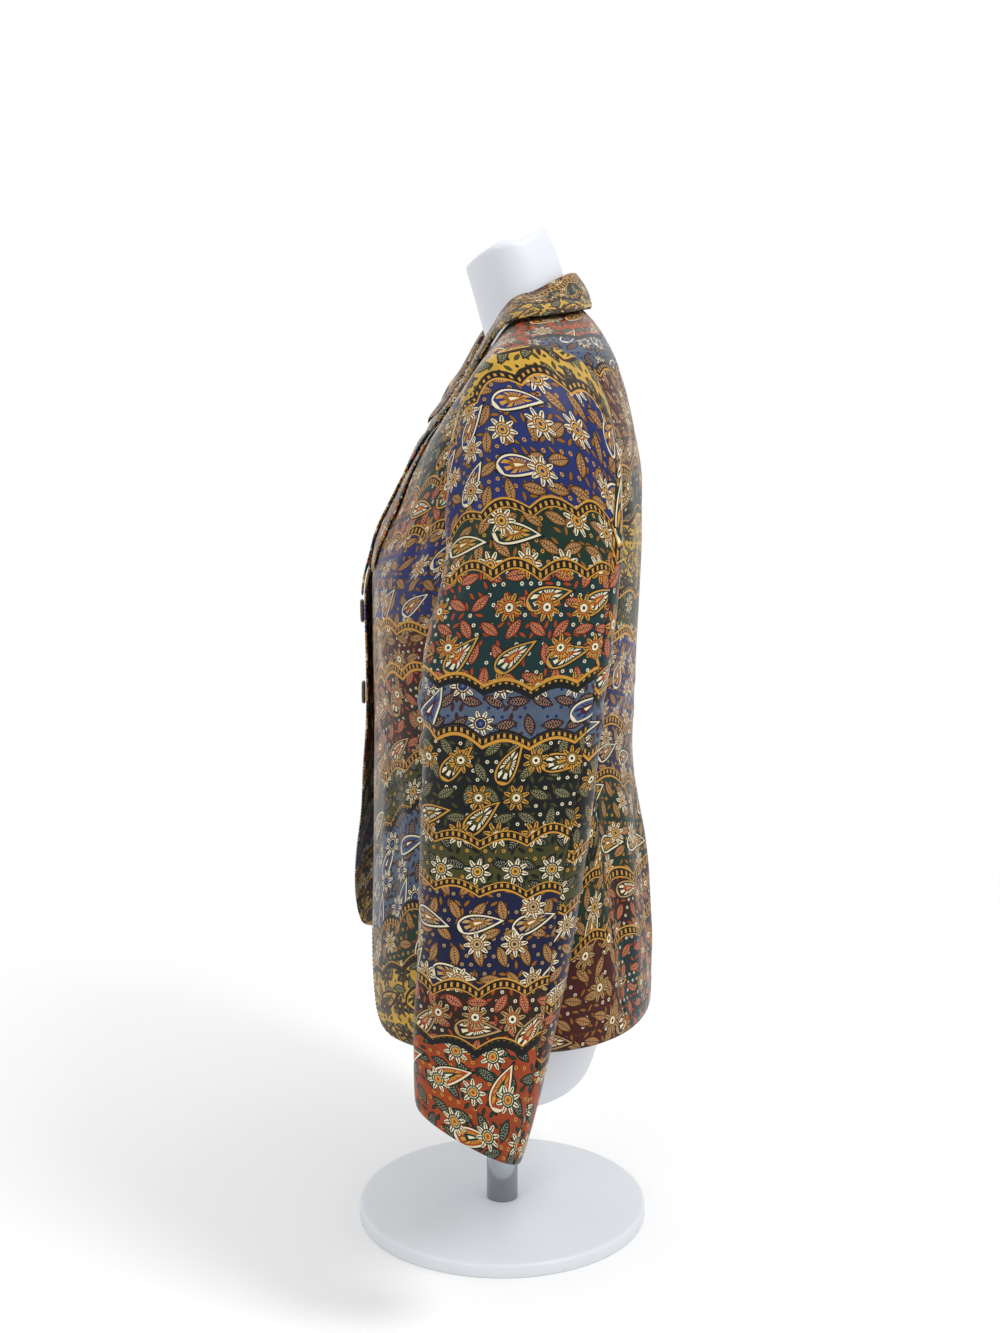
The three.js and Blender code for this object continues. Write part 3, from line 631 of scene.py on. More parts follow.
def shell(name, surface, side, places, lie_out=0.0, creases=None, from_top=False, shift=(0, 0)):
    a, b = places[..., 0], places[..., 1]
    face = surface(a, b)
    normal = normal_of(surface, a, b, side)
    uv = lengths_of(face, from_top)
    note_cut(name, face, uv[..., 0].max(), np.linalg.norm(np.diff(face, axis=0), axis=-1).sum(0).max())
    face = draw_in(face)
    if creases is not None:
        face = face + normal * creases(mirrored(face, side))[..., None]
    shares = rim_shares(*face.shape[:2])
    outer = face + normal * (lie_out - CLOTH * shares)[..., None]
    inner = face + normal * (lie_out - CLOTH * (1 - shares))[..., None]
    faces_of[name] = (outer, normal)
    along = shift[0] + (0 if side > 0 else RIGHT_CUT)
    piece = two_faces(name, outer, inner, uv + np.array((along, shift[1])))
    print(name, "cut", cuts[name], "faces", len(piece.data.polygons))
    return piece


# %% [markdown]
# The body panels, sleeves and lapels of both sides. The right side's creases are shifted a
# little against the left side's, because no jacket hangs the same on both.

# %% Panels, sleeves and lapels
cloth = {}
for word, side in (("left", 1), ("right", -1)):
    front, plain, arm = front_surface(side), plain_surface(side), sleeve_surface(side)
    folds = crease_field(BODY_CREASES, body_point, side)
    bends = crease_field(SLEEVE_CREASES, sleeve_surface(1), side)
    for node, surface, places, more in (
            ("front", front, front_grid(side), {"creases": folds}),
            ("side", plain, side_grid(), {"creases": folds, "shift": (200, 0)}),
            ("back", plain, back_grid(), {"creases": folds, "shift": (400, 0)}),
            ("sleeve_upper", arm, sleeve_grid(True),
             {"creases": bends, "from_top": True, "shift": (60, 0)}),
            ("sleeve_under", arm, sleeve_grid(False),
             {"creases": bends, "from_top": True, "shift": (300, 0)}),
            ("lapel", front, lapel_grid(side), {"lie_out": CLOTH + LAPEL_CLEAR})):
        cloth[f"{node}_{word}"] = shell(f"{node}_{word}_cloth", surface, side, places, **more)

# %% [markdown]
# The collar is one strip. Its section is sampled along a smooth line through its corner
# points, then the two faces lie half a cloth either side of that line.

# %% Collar
COLLAR_ALONG, COLLAR_ACROSS = 160, 72
stations = np.linspace(-1, 1, COLLAR_ALONG + 1)
corner = collar_lines(stations)
section = Table(" ".join(f"c{i}" for i in range(corner.shape[1] * 3)),
                corner.reshape(len(corner), -1))
across = np.linspace(0, len(corner) - 1, COLLAR_ACROSS + 1)
centre = np.stack(list(section.at(across).values()), -1).reshape(len(across), -1, 3)
centre = centre.transpose(1, 0, 2)
face_way = unit(np.cross(np.gradient(centre, axis=0), np.gradient(centre, axis=1)))
half = (CLOTH * (0.5 - rim_shares(*centre.shape[:2])))[..., None]
collar_uv = lengths_of(centre, False)[..., ::-1] + np.array([600, 0])
note_cut("collar_cloth", centre, np.ptp(collar_uv[..., 1]), np.ptp(collar_uv[..., 0]))
cloth["collar"] = two_faces("collar_cloth", centre + face_way * half, centre - face_way * half,
                            collar_uv)
faces_of["collar_cloth"] = (centre + face_way * half, face_way)
print("collar cut", cuts["collar_cloth"])

# %% [markdown]
# The dress form is a smooth torso with a neck cut on a slant. It is made from rings: a few
# of its own below the hem and at the neck, and the jacket's rings drawn inwards between.

# %% Dress form
FORM_INSIDE = [
    (1, 0.86, 28), (2, 0.9, 18), (3, 0.88, 16), (4, 0.84, 20), (5, 0.86, 16), (6, 0.88, 6),
    (7, 0.89, 4), (8, 0.89, 2.6), (9, 0.88, 2), (9.6, 0.88, 1.6), (9.85, 0.91, 2),
    (10.2, 0.95, 3.6), (10.6, 0.99, 4.2), (11, 1, 3.4), (11.4, 1, 2.9), (11.8, 1, 2.6),
    (12, 1, 2.2)]
FORM_BOTTOM = Table(RING_COLUMNS, [
    (-33, -33, -33, 58, -24, 1, 32, 2, 2), (-29, -29, -29, 88, -48, 1, 60, 2, 2),
    (-17, -17, -17, 110, -66, 1, 76, 2.1, 2.1), (8, 8, 8, 121, -78, 1, 85, 2.2, 2.2),
    (55, 55, 55, 128, -85, 1, 93, 2.3, 2.3)])
FORM_NECK = Table(RING_COLUMNS, [
    (607, 633, 646, 52, -10.5, 20, 57, 2, 2), (618, 643, 657, 48.5, -14, 18, 54, 2, 2),
    (636, 658, 672, 47.5, -19, 14, 49.5, 2, 2), (655, 673, 688, 47, -24.5, 9, 43, 2, 2),
    (668, 683, 697, 46.5, -28, 5, 38.5, 2, 2), (672, 687, 701, 43, -25, 5, 35.5, 2, 2)])
AROUND = 144
turns = np.arange(AROUND) * 360 / AROUND
half_turn = np.where(turns > 180, 360 - turns, turns)
hand = np.stack([np.where(turns > 180, -1, 1), np.ones(AROUND), np.ones(AROUND)], -1)


def own_rings(table):
    return [ring_point(dict(zip(table.names, row)), half_turn) * hand for row in table.rows]


inside = []
for row, narrow, inset in FORM_INSIDE:
    ring = body_point(half_turn, row)
    ring = ring - normal_of(body_point, half_turn, np.full(AROUND, float(row))) * (CLOTH + inset)
    inside.append(ring * hand * np.array([narrow, 1, 1]))
rings = np.array(own_rings(FORM_BOTTOM) + inside + own_rings(FORM_NECK))
ring_table = Table(" ".join(f"c{i}" for i in range(AROUND * 3)), rings.reshape(len(rings), -1))
FORM_FINE = 4
levels = np.linspace(0, len(rings) - 1, (len(rings) - 1) * FORM_FINE + 1)
fine_rings = np.stack(list(ring_table.at(levels).values()), -1).reshape(len(levels), AROUND, 3)


def ring_body(name, rings):
    """A smooth body through rings of points, its ends closed by smaller and smaller rings."""
    start, end = rings[0].mean(0), rings[-1].mean(0)
    lids = [0.97, 0.9, 0.6, 0.3]
    low = [mix(start, rings[0], k) for k in lids[::-1]]
    high = [mix(end, rings[-1], k) for k in lids]
    rings = np.array(low + list(rings) + high)
    count, around = rings.shape[:2]
    points = np.concatenate([rings.reshape(-1, 3), [start], [end]])
    index = np.arange(count * around).reshape(count, around)
    nxt = np.roll(index, -1, axis=1)
    quads = np.stack([index[:-1], nxt[:-1], nxt[1:], index[1:]], -1).reshape(-1, 4)
    faces = quads.tolist()
    faces += [[len(points) - 2, b, a] for a, b in zip(index[0], nxt[0])]
    faces += [[len(points) - 1, a, b] for a, b in zip(index[-1], nxt[-1])]
    if volume_of(points - points.mean(0), quads) < 0:
        faces = [f[::-1] for f in faces]
    return save_mesh(name, points, faces)


form = ring_body("form_shell", fine_rings)
print("form faces", len(form.data.polygons))

# %% [markdown]
# The stand is a steel tube on a round plate. Both are turned shapes, made of circles whose
# radius and height follow a short profile with a small rounding where the real edge is broken.

# %% Post and plate
BASE_RADIUS, BASE_HEIGHT, POST_RADIUS, STAND_Y = 128, 12, 14, 2


def turned(name, foot, axes, profile, around=64):
    """A body turned about the last of its three axes; each place is a radius and a height."""
    right, up, out = axes
    turn = np.arange(around)[:, None] * 2 * math.pi / around
    circle = np.cos(turn) * right + np.sin(turn) * up
    return ring_body(name, [foot + out * h + r * circle for r, h in profile])


def rounded(radius, z, r, turn_in):
    """Profile places round a broken edge."""
    angles = np.radians([0, 30, 60, 90])
    places = [(radius - r + r * math.cos(a), z - r + r * math.sin(a)) for a in angles]
    return places if turn_in else [(x, 2 * z - y) for x, y in places][::-1]


FORM_FOOT = 33                  # the form ends this far below the tables' zero
stand_foot, upright = np.array([0, STAND_Y, -LIFT]), np.eye(3)
post = turned("stand_tube", stand_foot, upright,
              [(POST_RADIUS, BASE_HEIGHT + SEAM_GAP), (POST_RADIUS, LIFT - FORM_FOOT - SEAM_GAP)])
plate = turned("stand_plate", stand_foot, upright,
               rounded(BASE_RADIUS, 0, 1, False) + rounded(BASE_RADIUS, BASE_HEIGHT, 3, True), 96)
print("stand made")

# %% [markdown]
# Buttons are turned too: a rim and a shallow dish, with crossed threads sewn over the middle.
# They sit on the outer face of the right front, square to the cloth.

# %% Buttons
BUTTON_LEVELS = (383, 313)
BUTTON_PROFILE = [(7.5, 0), (9.2, 0.25), (9.8, 0.8), (10, 1.5), (9.9, 2.3), (9.4, 3.1),
                  (8.7, 3.4), (8.0, 3.3), (7.3, 2.8), (6.6, 2.4), (5.8, 2.3)]
HOLE, DISH, ARCH, THREAD, THREAD_SIDES, THREAD_RINGS = 2, 2.2, 0.75, 0.3, 8, 7


def button_seat(level):
    place = place_front((0.0, float(level)))
    surface = front_surface(-1)
    a, r = np.array(place[0]), np.array(place[1])
    out = normal_of(surface, a, r, -1)
    foot = surface(a, r) + out * (SEAM_GAP + 0.1)
    right = unit(np.cross([1.0, 0, 0], out))
    return foot, (right, np.cross(out, right), out)


def thread_cross(name, foot, axes):
    """Two pairs of short threads that cross between the holes, each a small rounded bar."""
    right, up, out = axes
    points, faces = [], []
    for slant in (1, -1):
        for side in (-0.35, 0.35):
            start, end = (foot + right * h + up * h * slant + out * DISH for h in (-HOLE, HOLE))
            across = np.cross(unit(end - start), out)
            base = len(points)
            for t in np.linspace(0, 1, THREAD_RINGS):
                p = mix(start, end, t) + out * (ARCH * math.sin(math.pi * t)) + across * side
                points += [p + THREAD * (math.cos(q) * across + math.sin(q) * out)
                           for q in np.arange(THREAD_SIDES) * 2 * math.pi / THREAD_SIDES]
            ring = np.arange(THREAD_RINGS * THREAD_SIDES).reshape(THREAD_RINGS, -1) + base
            nxt = np.roll(ring, -1, axis=1)
            faces += np.stack([ring[:-1], nxt[:-1], nxt[1:], ring[1:]], -1).reshape(-1, 4).tolist()
            faces += [ring[0, ::-1].tolist(), ring[-1].tolist()]
    return save_mesh(name, np.array(points), faces)


seats = [button_seat(level) for level in BUTTON_LEVELS]
buttons = [turned(f"button_{i}_disc", *seat, BUTTON_PROFILE) for i, seat in enumerate(seats, 1)]
threads = [thread_cross(f"button_{i}_thread", *seat) for i, seat in enumerate(seats, 1)]
print("buttons", len(buttons))

# %% [markdown]
# Shader maths is written as sums. One small class wraps a socket, so that mask * 2 or
# 1 - mask adds its Math node, and one method adds any other node with its settings.

# %% Shader helper
def colour(code):
    """A hex colour as linear red, green, blue and alpha."""
    parts = [int(code[i:i + 2], 16) / 255 for i in (0, 2, 4)]
    return tuple(c / 12.92 if c <= 0.04045 else ((c + 0.055) / 1.055) ** 2.4 for c in parts) + (1,)


class Value:
    def __init__(self, finish, socket):
        self.finish, self.socket = finish, socket

    def math(self, operation, *others, first=None):
        terms = (self if first is None else first, *others)
        return self.finish.out(self.finish.node("ShaderNodeMath", {"operation": operation}, terms))

    def __rsub__(self, other):
        return self.math("SUBTRACT", self, first=other)


def as_method(operation):
    return lambda value, *others: value.math(operation, *others)


for word, operation in (
        ("__add__", "ADD"), ("__radd__", "ADD"), ("__sub__", "SUBTRACT"), ("__mul__", "MULTIPLY"),
        ("__truediv__", "DIVIDE"), ("__pow__", "POWER"), ("__lt__", "LESS_THAN"),
        ("__gt__", "GREATER_THAN"), ("sin", "SINE"), ("cos", "COSINE"), ("abs", "ABSOLUTE"),
        ("floor", "FLOOR"), ("either", "MAXIMUM"), ("both", "MINIMUM"), ("mod", "FLOORED_MODULO")):
    setattr(Value, word, as_method(operation))


class Finish:
    def __init__(self, name):
        self.material = bpy.data.materials.new(name)
        self.material.use_nodes = True
        self.tree = self.material.node_tree
        self.tree.nodes.clear()

    def node(self, kind, settings=None, values=()):
        made = self.tree.nodes.new(kind)
        for key, value in (settings or {}).items():
            if key == "stops":
                while len(made.color_ramp.elements) > 1:
                    made.color_ramp.elements.remove(made.color_ramp.elements[-1])
                for i, (place, tint) in enumerate(value):
                    stop = (made.color_ramp.elements[0] if i == 0
                            else made.color_ramp.elements.new(place))
                    stop.position, stop.color = place, tint
            else:
                setattr(made.color_ramp if key == "interpolation" else made, key, value)
        for key, value in (values.items() if isinstance(values, dict) else enumerate(values)):
            if isinstance(value, Value):
                self.tree.links.new(value.socket, made.inputs[key])
            elif value is not None:
                made.inputs[key].default_value = value
        return made

    def out(self, node, name=0):
        return Value(self, node.outputs[name])

    def blend(self, factor, first, second):
        """A colour mix; sockets 6 and 7 of Mix are its two colours, output 2 its result."""
        return self.out(self.node("ShaderNodeMix", {"data_type": "RGBA", "clamp_factor": True},
                                  {0: factor, 6: first, 7: second}), 2)

    def noise(self, vector, scale, detail=2.0, roughness=0.5):
        return self.out(self.node("ShaderNodeTexNoise", {}, {
            "Vector": vector, "Scale": scale, "Detail": detail, "Roughness": roughness}))

    def ramp(self, factor, stops, interpolation):
        return self.out(self.node("ShaderNodeValToRGB", {"stops": stops,
                                                         "interpolation": interpolation}, (factor,)))

    def bump(self, height, strength, distance):
        return self.out(self.node("ShaderNodeBump", {}, {
            "Strength": strength, "Distance": distance, "Height": height}))

    def position(self):
        return self.out(self.node("ShaderNodeTexCoord"), "Object")

    def surface(self, **values):
        shader = self.node("ShaderNodeBsdfPrincipled", {},
                           {k.replace("_", " ").title().replace("Ior", "IOR"): v
                            for k, v in values.items()})
        end = self.node("ShaderNodeOutputMaterial")
        self.tree.links.new(shader.outputs[0], end.inputs[0])
        return self.material


print("shader helper ready")

# %% [markdown]
# The print. Real printed silk of this kind is made of broad bands of ground colour, filled
# with small motifs that have a dark outline and a pale or golden fill. Here each band is
# filled with rosettes, leaves and paisleys in a half-drop repeat, with beaded borders
# between the bands. Wide and narrow bands take turns, and one rule gives each its colours. A
# ramp over the distance from the hem or cuff then looks up the band that a point lies in.

# %% Print colours and bands
INK = {"slate": "4f5d70", "royal": "1b2864", "gold": "c48d30", "ochre": "8a560f",
       "rust": "9a3d10", "maroon": "43100f", "forest": "0d2d20", "teal": "0a2d2f",
       "olive": "3d3d17", "navy": "0d1238", "ink": "07090a", "cream": "e2d6b4",
       "brown": "29170b", "sand": "b0905a", "amber": "c39a36"}
# The colourways of a band: its ground, flower, leaf, dot and border colours.
COLOURWAYS = [
    ("forest", "cream", "ochre", "gold", "gold"), ("rust", "cream", "forest", "gold", "ink"),
    ("ink", "gold", "olive", "cream", "gold"), ("royal", "cream", "ochre", "gold", "gold"),
    ("brown", "sand", "rust", "cream", "gold"), ("slate", "cream", "maroon", "royal", "ink"),
    ("amber", "maroon", "olive", "brown", "brown"), ("navy", "cream", "ochre", "sand", "gold"),
    ("teal", "gold", "rust", "cream", "gold"), ("maroon", "sand", "ochre", "cream", "gold"),
    ("olive", "cream", "ink", "gold", "gold")]


def banded(first, stride, wide=74, narrow=40, count=11):
    """Wide and narrow bands by turns; the colourways are taken in steps of the stride."""
    rows, end = [], 0
    for i in range(count):
        end += narrow if i % 2 else wide
        rows.append((end, *COLOURWAYS[(first + stride * i) % len(COLOURWAYS)]))
    return rows


SLEEVE_BANDS, FRONT_BANDS = banded(1, 3), banded(6, 5)
SIDE_BANDS, BACK_BANDS = banded(9, 2), banded(8, 7)
COLLAR_BANDS, LAPEL_BANDS = banded(9, 4, 30, 16, 3), banded(8, 1, 600, 600, 1)
BORDER_WIDTH = 6.4


def ramp_stops(bands, column):
    total, start, stops = bands[-1][0], 0, []
    for row in bands:
        stops.append((start / total, colour(INK[row[column]])))
        start = row[0]
    return stops


def border_stops(bands):
    """Rises to 1 on the middle line of each border and falls to 0 at its two edges."""
    total, stops = bands[-1][0], [(0, (0, 0, 0, 1))]
    for row in bands[:-1]:
        stops += [((row[0] + at * BORDER_WIDTH / 2) / total, (rise, rise, rise, 1))
                  for at, rise in ((-1, 0), (0, 1), (1, 0))]
    return stops


print("colourways", len(COLOURWAYS), "bands on a sleeve", len(SLEEVE_BANDS))

# %% [markdown]
# A motif lives in one cell of a grid. The cell gives each motif its own turn and size; the
# shape is a curve in polar form, so a rosette is a circle whose radius waves round.

# %% Motifs
HALF_TURN, TURN = 3.1416, 6.283


class Grid:
    """Half-drop cells: local x and y from -0.5 to 0.5, turned by a random angle."""
    def __init__(self, f, u, v, cell, seed, spin=TURN):
        row = (v / cell).floor()
        across = u / cell + row.mod(2.0) * 0.5
        column = across.floor()
        x, y = across - column - 0.5, v / cell - row - 0.5
        place = f.out(f.node("ShaderNodeCombineXYZ", {}, (column, row, seed)))
        rand = f.node("ShaderNodeTexWhiteNoise", {"noise_dimensions": "3D"}, {"Vector": place})
        self.chance = Value(f, rand.outputs["Value"])
        turn = self.chance * spin
        c, s = turn.cos(), turn.sin()
        self.x, self.y = x * c - y * s, x * s + y * c
        self.far = (self.x * self.x + self.y * self.y).math("SQRT")
        self.angle = self.y.math("ARCTAN2", self.x)


def rosette(g, petals, size):
    """Signed distance to a rosette's outline, in cells."""
    wave = (g.angle * petals).cos() * 0.26 + 0.74
    return g.far - wave * size


def leaf(g, length, width):
    bow = g.x * g.x / (length * length)
    return g.y.abs() - (1 - bow) * width


def paisley(g, size):
    """A teardrop with a bent tail: rise runs from 0 at its round end to 1 at the tip."""
    rise = (g.y / size + 1.0) * 0.5
    inside = rise.either(0.0).both(1.0)
    bent = g.x / size - rise * rise * 0.55 + 0.15
    half = inside ** 0.5 * (1 - inside) * 1.15
    return (bent.abs() - half).either((rise - 0.5).abs() - 0.5) * size * 0.8


print("motifs: rosette, leaf, paisley")

# %% [markdown]
# The cloth's finish lays its motifs over the ground from the smallest to the largest, each as
# a few masks: first a dark outline, then the fills inside it. A fine twill and the slubs of
# the silk give the bump, and the gloss varies a little over the cloth.

# %% Printed silk
TO_MM, TWILL = 1000.0, 1.3
SCALLOP_DEPTH, WANDER, EVEN_EDGE = 7.0, 26.0, 60.0     # the bands run even near a hem or cuff


def printed_cloth(name, bands, swag=34.0, scale=1.0):
    f = Finish(name)
    cut = f.out(f.node("ShaderNodeUVMap", {"uv_map": "cut"}))
    split = f.node("ShaderNodeSeparateXYZ", {}, (cut,))
    u, v = f.out(split, "X") * TO_MM, f.out(split, "Y") * TO_MM
    wander = f.noise(cut, 9.0, 0.0) - 0.5
    scallop = (u * (HALF_TURN / swag)).sin().abs()
    drift = (wander * WANDER + (0.55 - scallop) * SCALLOP_DEPTH) * (v / EVEN_EDGE).both(1.0)
    level = (v + drift) / float(bands[-1][0])
    ground, flower, leaves, dots, border = (
        f.ramp(level, ramp_stops(bands, k), "CONSTANT") for k in (1, 2, 3, 4, 5))
    edging = f.ramp(level, border_stops(bands), "LINEAR")
    edging = f.out(f.node("ShaderNodeSeparateColor", {}, (edging,)))
    dark, pale = colour(INK["ink"]), colour(INK["cream"])

    small = Grid(f, u + 3.0, v, 6.5 * scale, 4.0)
    sprig, few, seeds = leaf(small, 0.48, 0.17), small.chance < 0.42, small.chance > 0.62
    mid = Grid(f, u + 9.0, v + 5.0, 17.0 * scale, 1.0)
    blade = leaf(mid, 0.48, 0.2)
    veins = ((mid.x.abs() * 1.2 - mid.y.abs()) * 44.0).sin() > 0.55
    tear = Grid(f, u, v + 11.0, 39.0 * scale, 7.0, 2.4)
    drop, often = paisley(tear, 0.42), tear.chance < 0.6
    big = Grid(f, u + 14.0, v + 27.0, 27.0 * scale, 2.0)
    petals, bloom, rib = rosette(big, 8.0, 0.36), big.chance > 0.3, (big.angle * 8.0).cos() > 0.9
    bead = ((u / 4.4).mod(1.0) - 0.5).abs() < 0.2

    shade = f.blend((f.noise(cut, 70.0, 3.0, 0.65) - 0.45) * 1.3, ground, dark)
    for gate, layers in (
            (few, ((sprig < 0.06, dark), (sprig < 0.0, leaves))),
            (seeds, ((small.far < 0.2, dots), (small.far < 0.09, dark))),
            (None, ((blade < 0.04, dark), (blade < 0.0, leaves),
                    ((blade < -0.04).both(veins), f.blend(0.4, leaves, pale)),
                    ((blade < 0.0).both(mid.y.abs() < 0.014), dark))),
            (often, ((drop < 0.024, dark), (drop < 0.0, flower), (drop < -0.026, ground),
                     ((drop < -0.05).both((tear.angle * 14.0).sin() > -0.2), dots),
                     (drop < -0.095, leaves), (drop < -0.125, flower))),
            (bloom, ((petals < 0.03, dark), (petals < 0.0, flower), ((petals < -0.03).both(rib), dark),
                     ((big.far - 0.17).abs() < 0.02, leaves), (big.far < 0.13, dark),
                     (big.far < 0.105, dots), (big.far < 0.045, ground))),
            (None, ((edging > 0.03, border), (edging > 0.27, dark),
                    ((edging > 0.5).both(bead), border)))):
        for mask, ink in layers:
            shade = f.blend(mask.both(gate) if gate else mask, shade, ink)

    soft, slub = f.noise(cut, 9.0, 2.0), f.noise(cut, 420.0, 2.0)
    twill = ((u + v) * (TURN / TWILL)).sin() * 0.5 + 0.5
    height = twill * 0.35 + slub * 0.65 + f.noise(cut, 38.0, 3.0) * 3.0
    return f.surface(base_color=f.blend(0.2 + (soft - 0.5) * 0.4, shade, dark),
                     roughness=0.24 + slub * 0.12 + soft * 0.08, normal=f.bump(height, 0.55, 0.0004),
                     sheen_weight=0.015, sheen_roughness=0.35, specular_ior_level=0.2)


FRONT_SEWN = ((slice(3, SEAM_ROWS * FINE), 1), (3, slice(1, -2)))
HEM_SEWN, CUFF_SEWN = ((3, slice(None)),), ((-3, slice(None)),)
# Each kind of piece: its finish, its slot, and the rows and columns where it is sewn.
KINDS = {
    "front": (printed_cloth("printed silk, front", FRONT_BANDS), "front_cloth", FRONT_SEWN),
    "side": (printed_cloth("printed silk, side", SIDE_BANDS), "side_cloth", HEM_SEWN),
    "back": (printed_cloth("printed silk, back", BACK_BANDS, 40.0, 0.85), "back_cloth", HEM_SEWN),
    "sleeve_upper": (printed_cloth("printed silk, upper sleeve", SLEEVE_BANDS),
                     "sleeve_cloth", CUFF_SEWN),
    "sleeve_under": (printed_cloth("printed silk, under sleeve", SLEEVE_BANDS),
                     "under_sleeve_cloth", CUFF_SEWN),
    "lapel": (printed_cloth("printed silk, lapel", LAPEL_BANDS), "lapel_cloth",
              ((slice(2, -2), -2),)),
    "collar": (printed_cloth("printed silk, collar", COLLAR_BANDS, 26.0, 0.72), "collar_cloth",
               ((slice(3, -3), -4),)),
}
print("cloth finishes", len(KINDS))


# %% [markdown]
# The form is moulded plastic with a soft gloss and a faint orange-peel surface. The tube is
# polished steel, the plate is painted, and the buttons are dark moulded plastic with a
# swirl like horn.

# %% Form, stand and button finishes
def moulded(name, base, tint, roughness, scale, metallic=0.0, coat=0.0):
    f = Finish(name)
    place = f.position()
    cloud = f.noise(place, scale, 3.0)
    fine = f.noise(place, scale * 40.0, 2.0)
    tone = f.blend((cloud - 0.35) * 0.8, colour(base), colour(tint))
    return f.surface(base_color=tone, roughness=roughness + fine * 0.08 + cloud * 0.05,
                     metallic=metallic, coat_weight=coat, normal=f.bump(fine * 0.6 + cloud, 0.12, 0.0006))


form_finish = moulded("white moulded shell", "c8cbd1", "bcc0c7", 0.34, 7.0, coat=0.15)
tube_finish = moulded("polished steel", "c9ccd0", "b4b8bd", 0.12, 11.0, metallic=1.0)
plate_finish = moulded("painted plate", "cdd0d4", "c3c6ca", 0.36, 9.0)
thread_finish = moulded("silk thread", "6b4a22", "3c2a16", 0.5, 300.0)
horn = Finish("dark horn")
spot = horn.position()
swirl = (horn.noise(spot, 140.0, 4.0, 0.65) * 24.0).sin() * 0.5 + 0.5
horn_tone = horn.blend(swirl * 0.7, colour("1d1613"), colour("4a3222"))
horn_finish = horn.surface(base_color=horn_tone, roughness=0.22 + swirl * 0.12, coat_weight=0.3)
print("finishes of the form, stand and buttons made")

# %% [markdown]
# Edges are held by a line of fine stitches. A tree of geometry nodes lays them along a path:
# the path is cut at an even spacing, and each place gets one small elongated bead of thread.

# %% Stitches along a path
def stitch_tree(material):
    tree = bpy.data.node_groups.new("stitches along a path", "GeometryNodeTree")
    face = tree.interface
    face.new_socket("Path", in_out="INPUT", socket_type="NodeSocketGeometry")
    for label, value in (("Spacing", 0.0036), ("Stitch length", 0.0024), ("Thread radius", 0.00028)):
        socket = face.new_socket(label, in_out="INPUT", socket_type="NodeSocketFloat")
        socket.default_value = value
    face.new_socket("Stitches", in_out="OUTPUT", socket_type="NodeSocketGeometry")

    def add(kind, **settings):
        node = tree.nodes.new(kind)
        for key, value in settings.items():
            setattr(node, key, value)
        return node
    start, end = add("NodeGroupInput"), add("NodeGroupOutput")
    curve = add("GeometryNodeMeshToCurve")
    places = add("GeometryNodeCurveToPoints", mode="LENGTH")
    bead = add("GeometryNodeMeshUVSphere")
    bead.inputs["Segments"].default_value, bead.inputs["Rings"].default_value = 6, 4
    bead.inputs["Radius"].default_value = 1.0
    size = add("ShaderNodeCombineXYZ")
    halve = add("ShaderNodeMath", operation="MULTIPLY")
    halve.inputs[1].default_value = 0.5
    laid = add("GeometryNodeInstanceOnPoints")
    real, paint = add("GeometryNodeRealizeInstances"), add("GeometryNodeSetMaterial")
    paint.inputs["Material"].default_value = material
    for source, out, target, into in (
            (start, "Path", curve, "Mesh"), (curve, "Curve", places, "Curve"),
            (start, "Spacing", places, "Length"), (places, "Points", laid, "Points"),
            (places, "Rotation", laid, "Rotation"), (bead, "Mesh", laid, "Instance"),
            (start, "Stitch length", halve, 0), (start, "Thread radius", size, 0),
            (start, "Thread radius", size, 1), (halve, 0, size, 2), (size, 0, laid, "Scale"),
            (laid, "Instances", real, 0), (real, 0, paint, "Geometry"),
            (paint, "Geometry", end, "Stitches")):
        tree.links.new(source.outputs[out], target.inputs[into])
    return tree


stitch_nodes = stitch_tree(thread_finish)


def stitches(name, paths, spacing=0.0036):
    """Paths are arrays of points in mm; one object carries the stitches of them all."""
    points, edges = [], []
    for path in paths:
        base = len(points)
        points += [tuple(p) for p in (path + np.array([0, 0, LIFT])) * MM]
        edges += [(base + i, base + i + 1) for i in range(len(path) - 1)]
    data = bpy.data.meshes.new(name + "_path")
    data.from_pydata(points, edges, [])
    line = add_object(name + "_path", data)
    modifier = line.modifiers.new("stitches", "NODES")
    modifier.node_group = stitch_nodes
    for item in stitch_nodes.interface.items_tree:
        if item.in_out == "INPUT" and item.name == "Spacing":
            modifier[item.identifier] = spacing
    bpy.context.view_layer.update()
    made = bpy.data.meshes.new_from_object(line.evaluated_get(bpy.context.evaluated_depsgraph_get()))
    bpy.data.objects.remove(line)
    made.polygons.foreach_set("use_smooth", np.ones(len(made.polygons), bool))
    return add_object(name, made)


print("stitch tree nodes", len(stitch_nodes.nodes))

# %% [markdown]
# The sewn lines: the front edge and hem, the hems of the sides and back, the cuffs, and the
# outer edges of lapel and collar. Each lies just off the outer face of its piece.

# %% Sewn lines
THREAD_LIFT = 0.12
sewing = {}
for node, piece in cloth.items():
    outer, normal = faces_of[piece.name]
    kind = node.replace("_left", "").replace("_right", "")
    sewn_face = outer + normal * THREAD_LIFT
    sewing[node] = stitches(f"{node}_stitches", [sewn_face[rows, cols] for rows, cols in KINDS[kind][2]])
    print(node, "stitch faces", len(sewing[node].data.polygons))

# %% [markdown]
# Now every piece gets its finish, rides on the one body and stands for its node of the frame.

# %% Finishes and riding
def dress(piece, finish=None, node=None):
    if finish:
        piece.data.materials.append(finish)
    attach(piece, "root")
    if node:
        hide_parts(node)


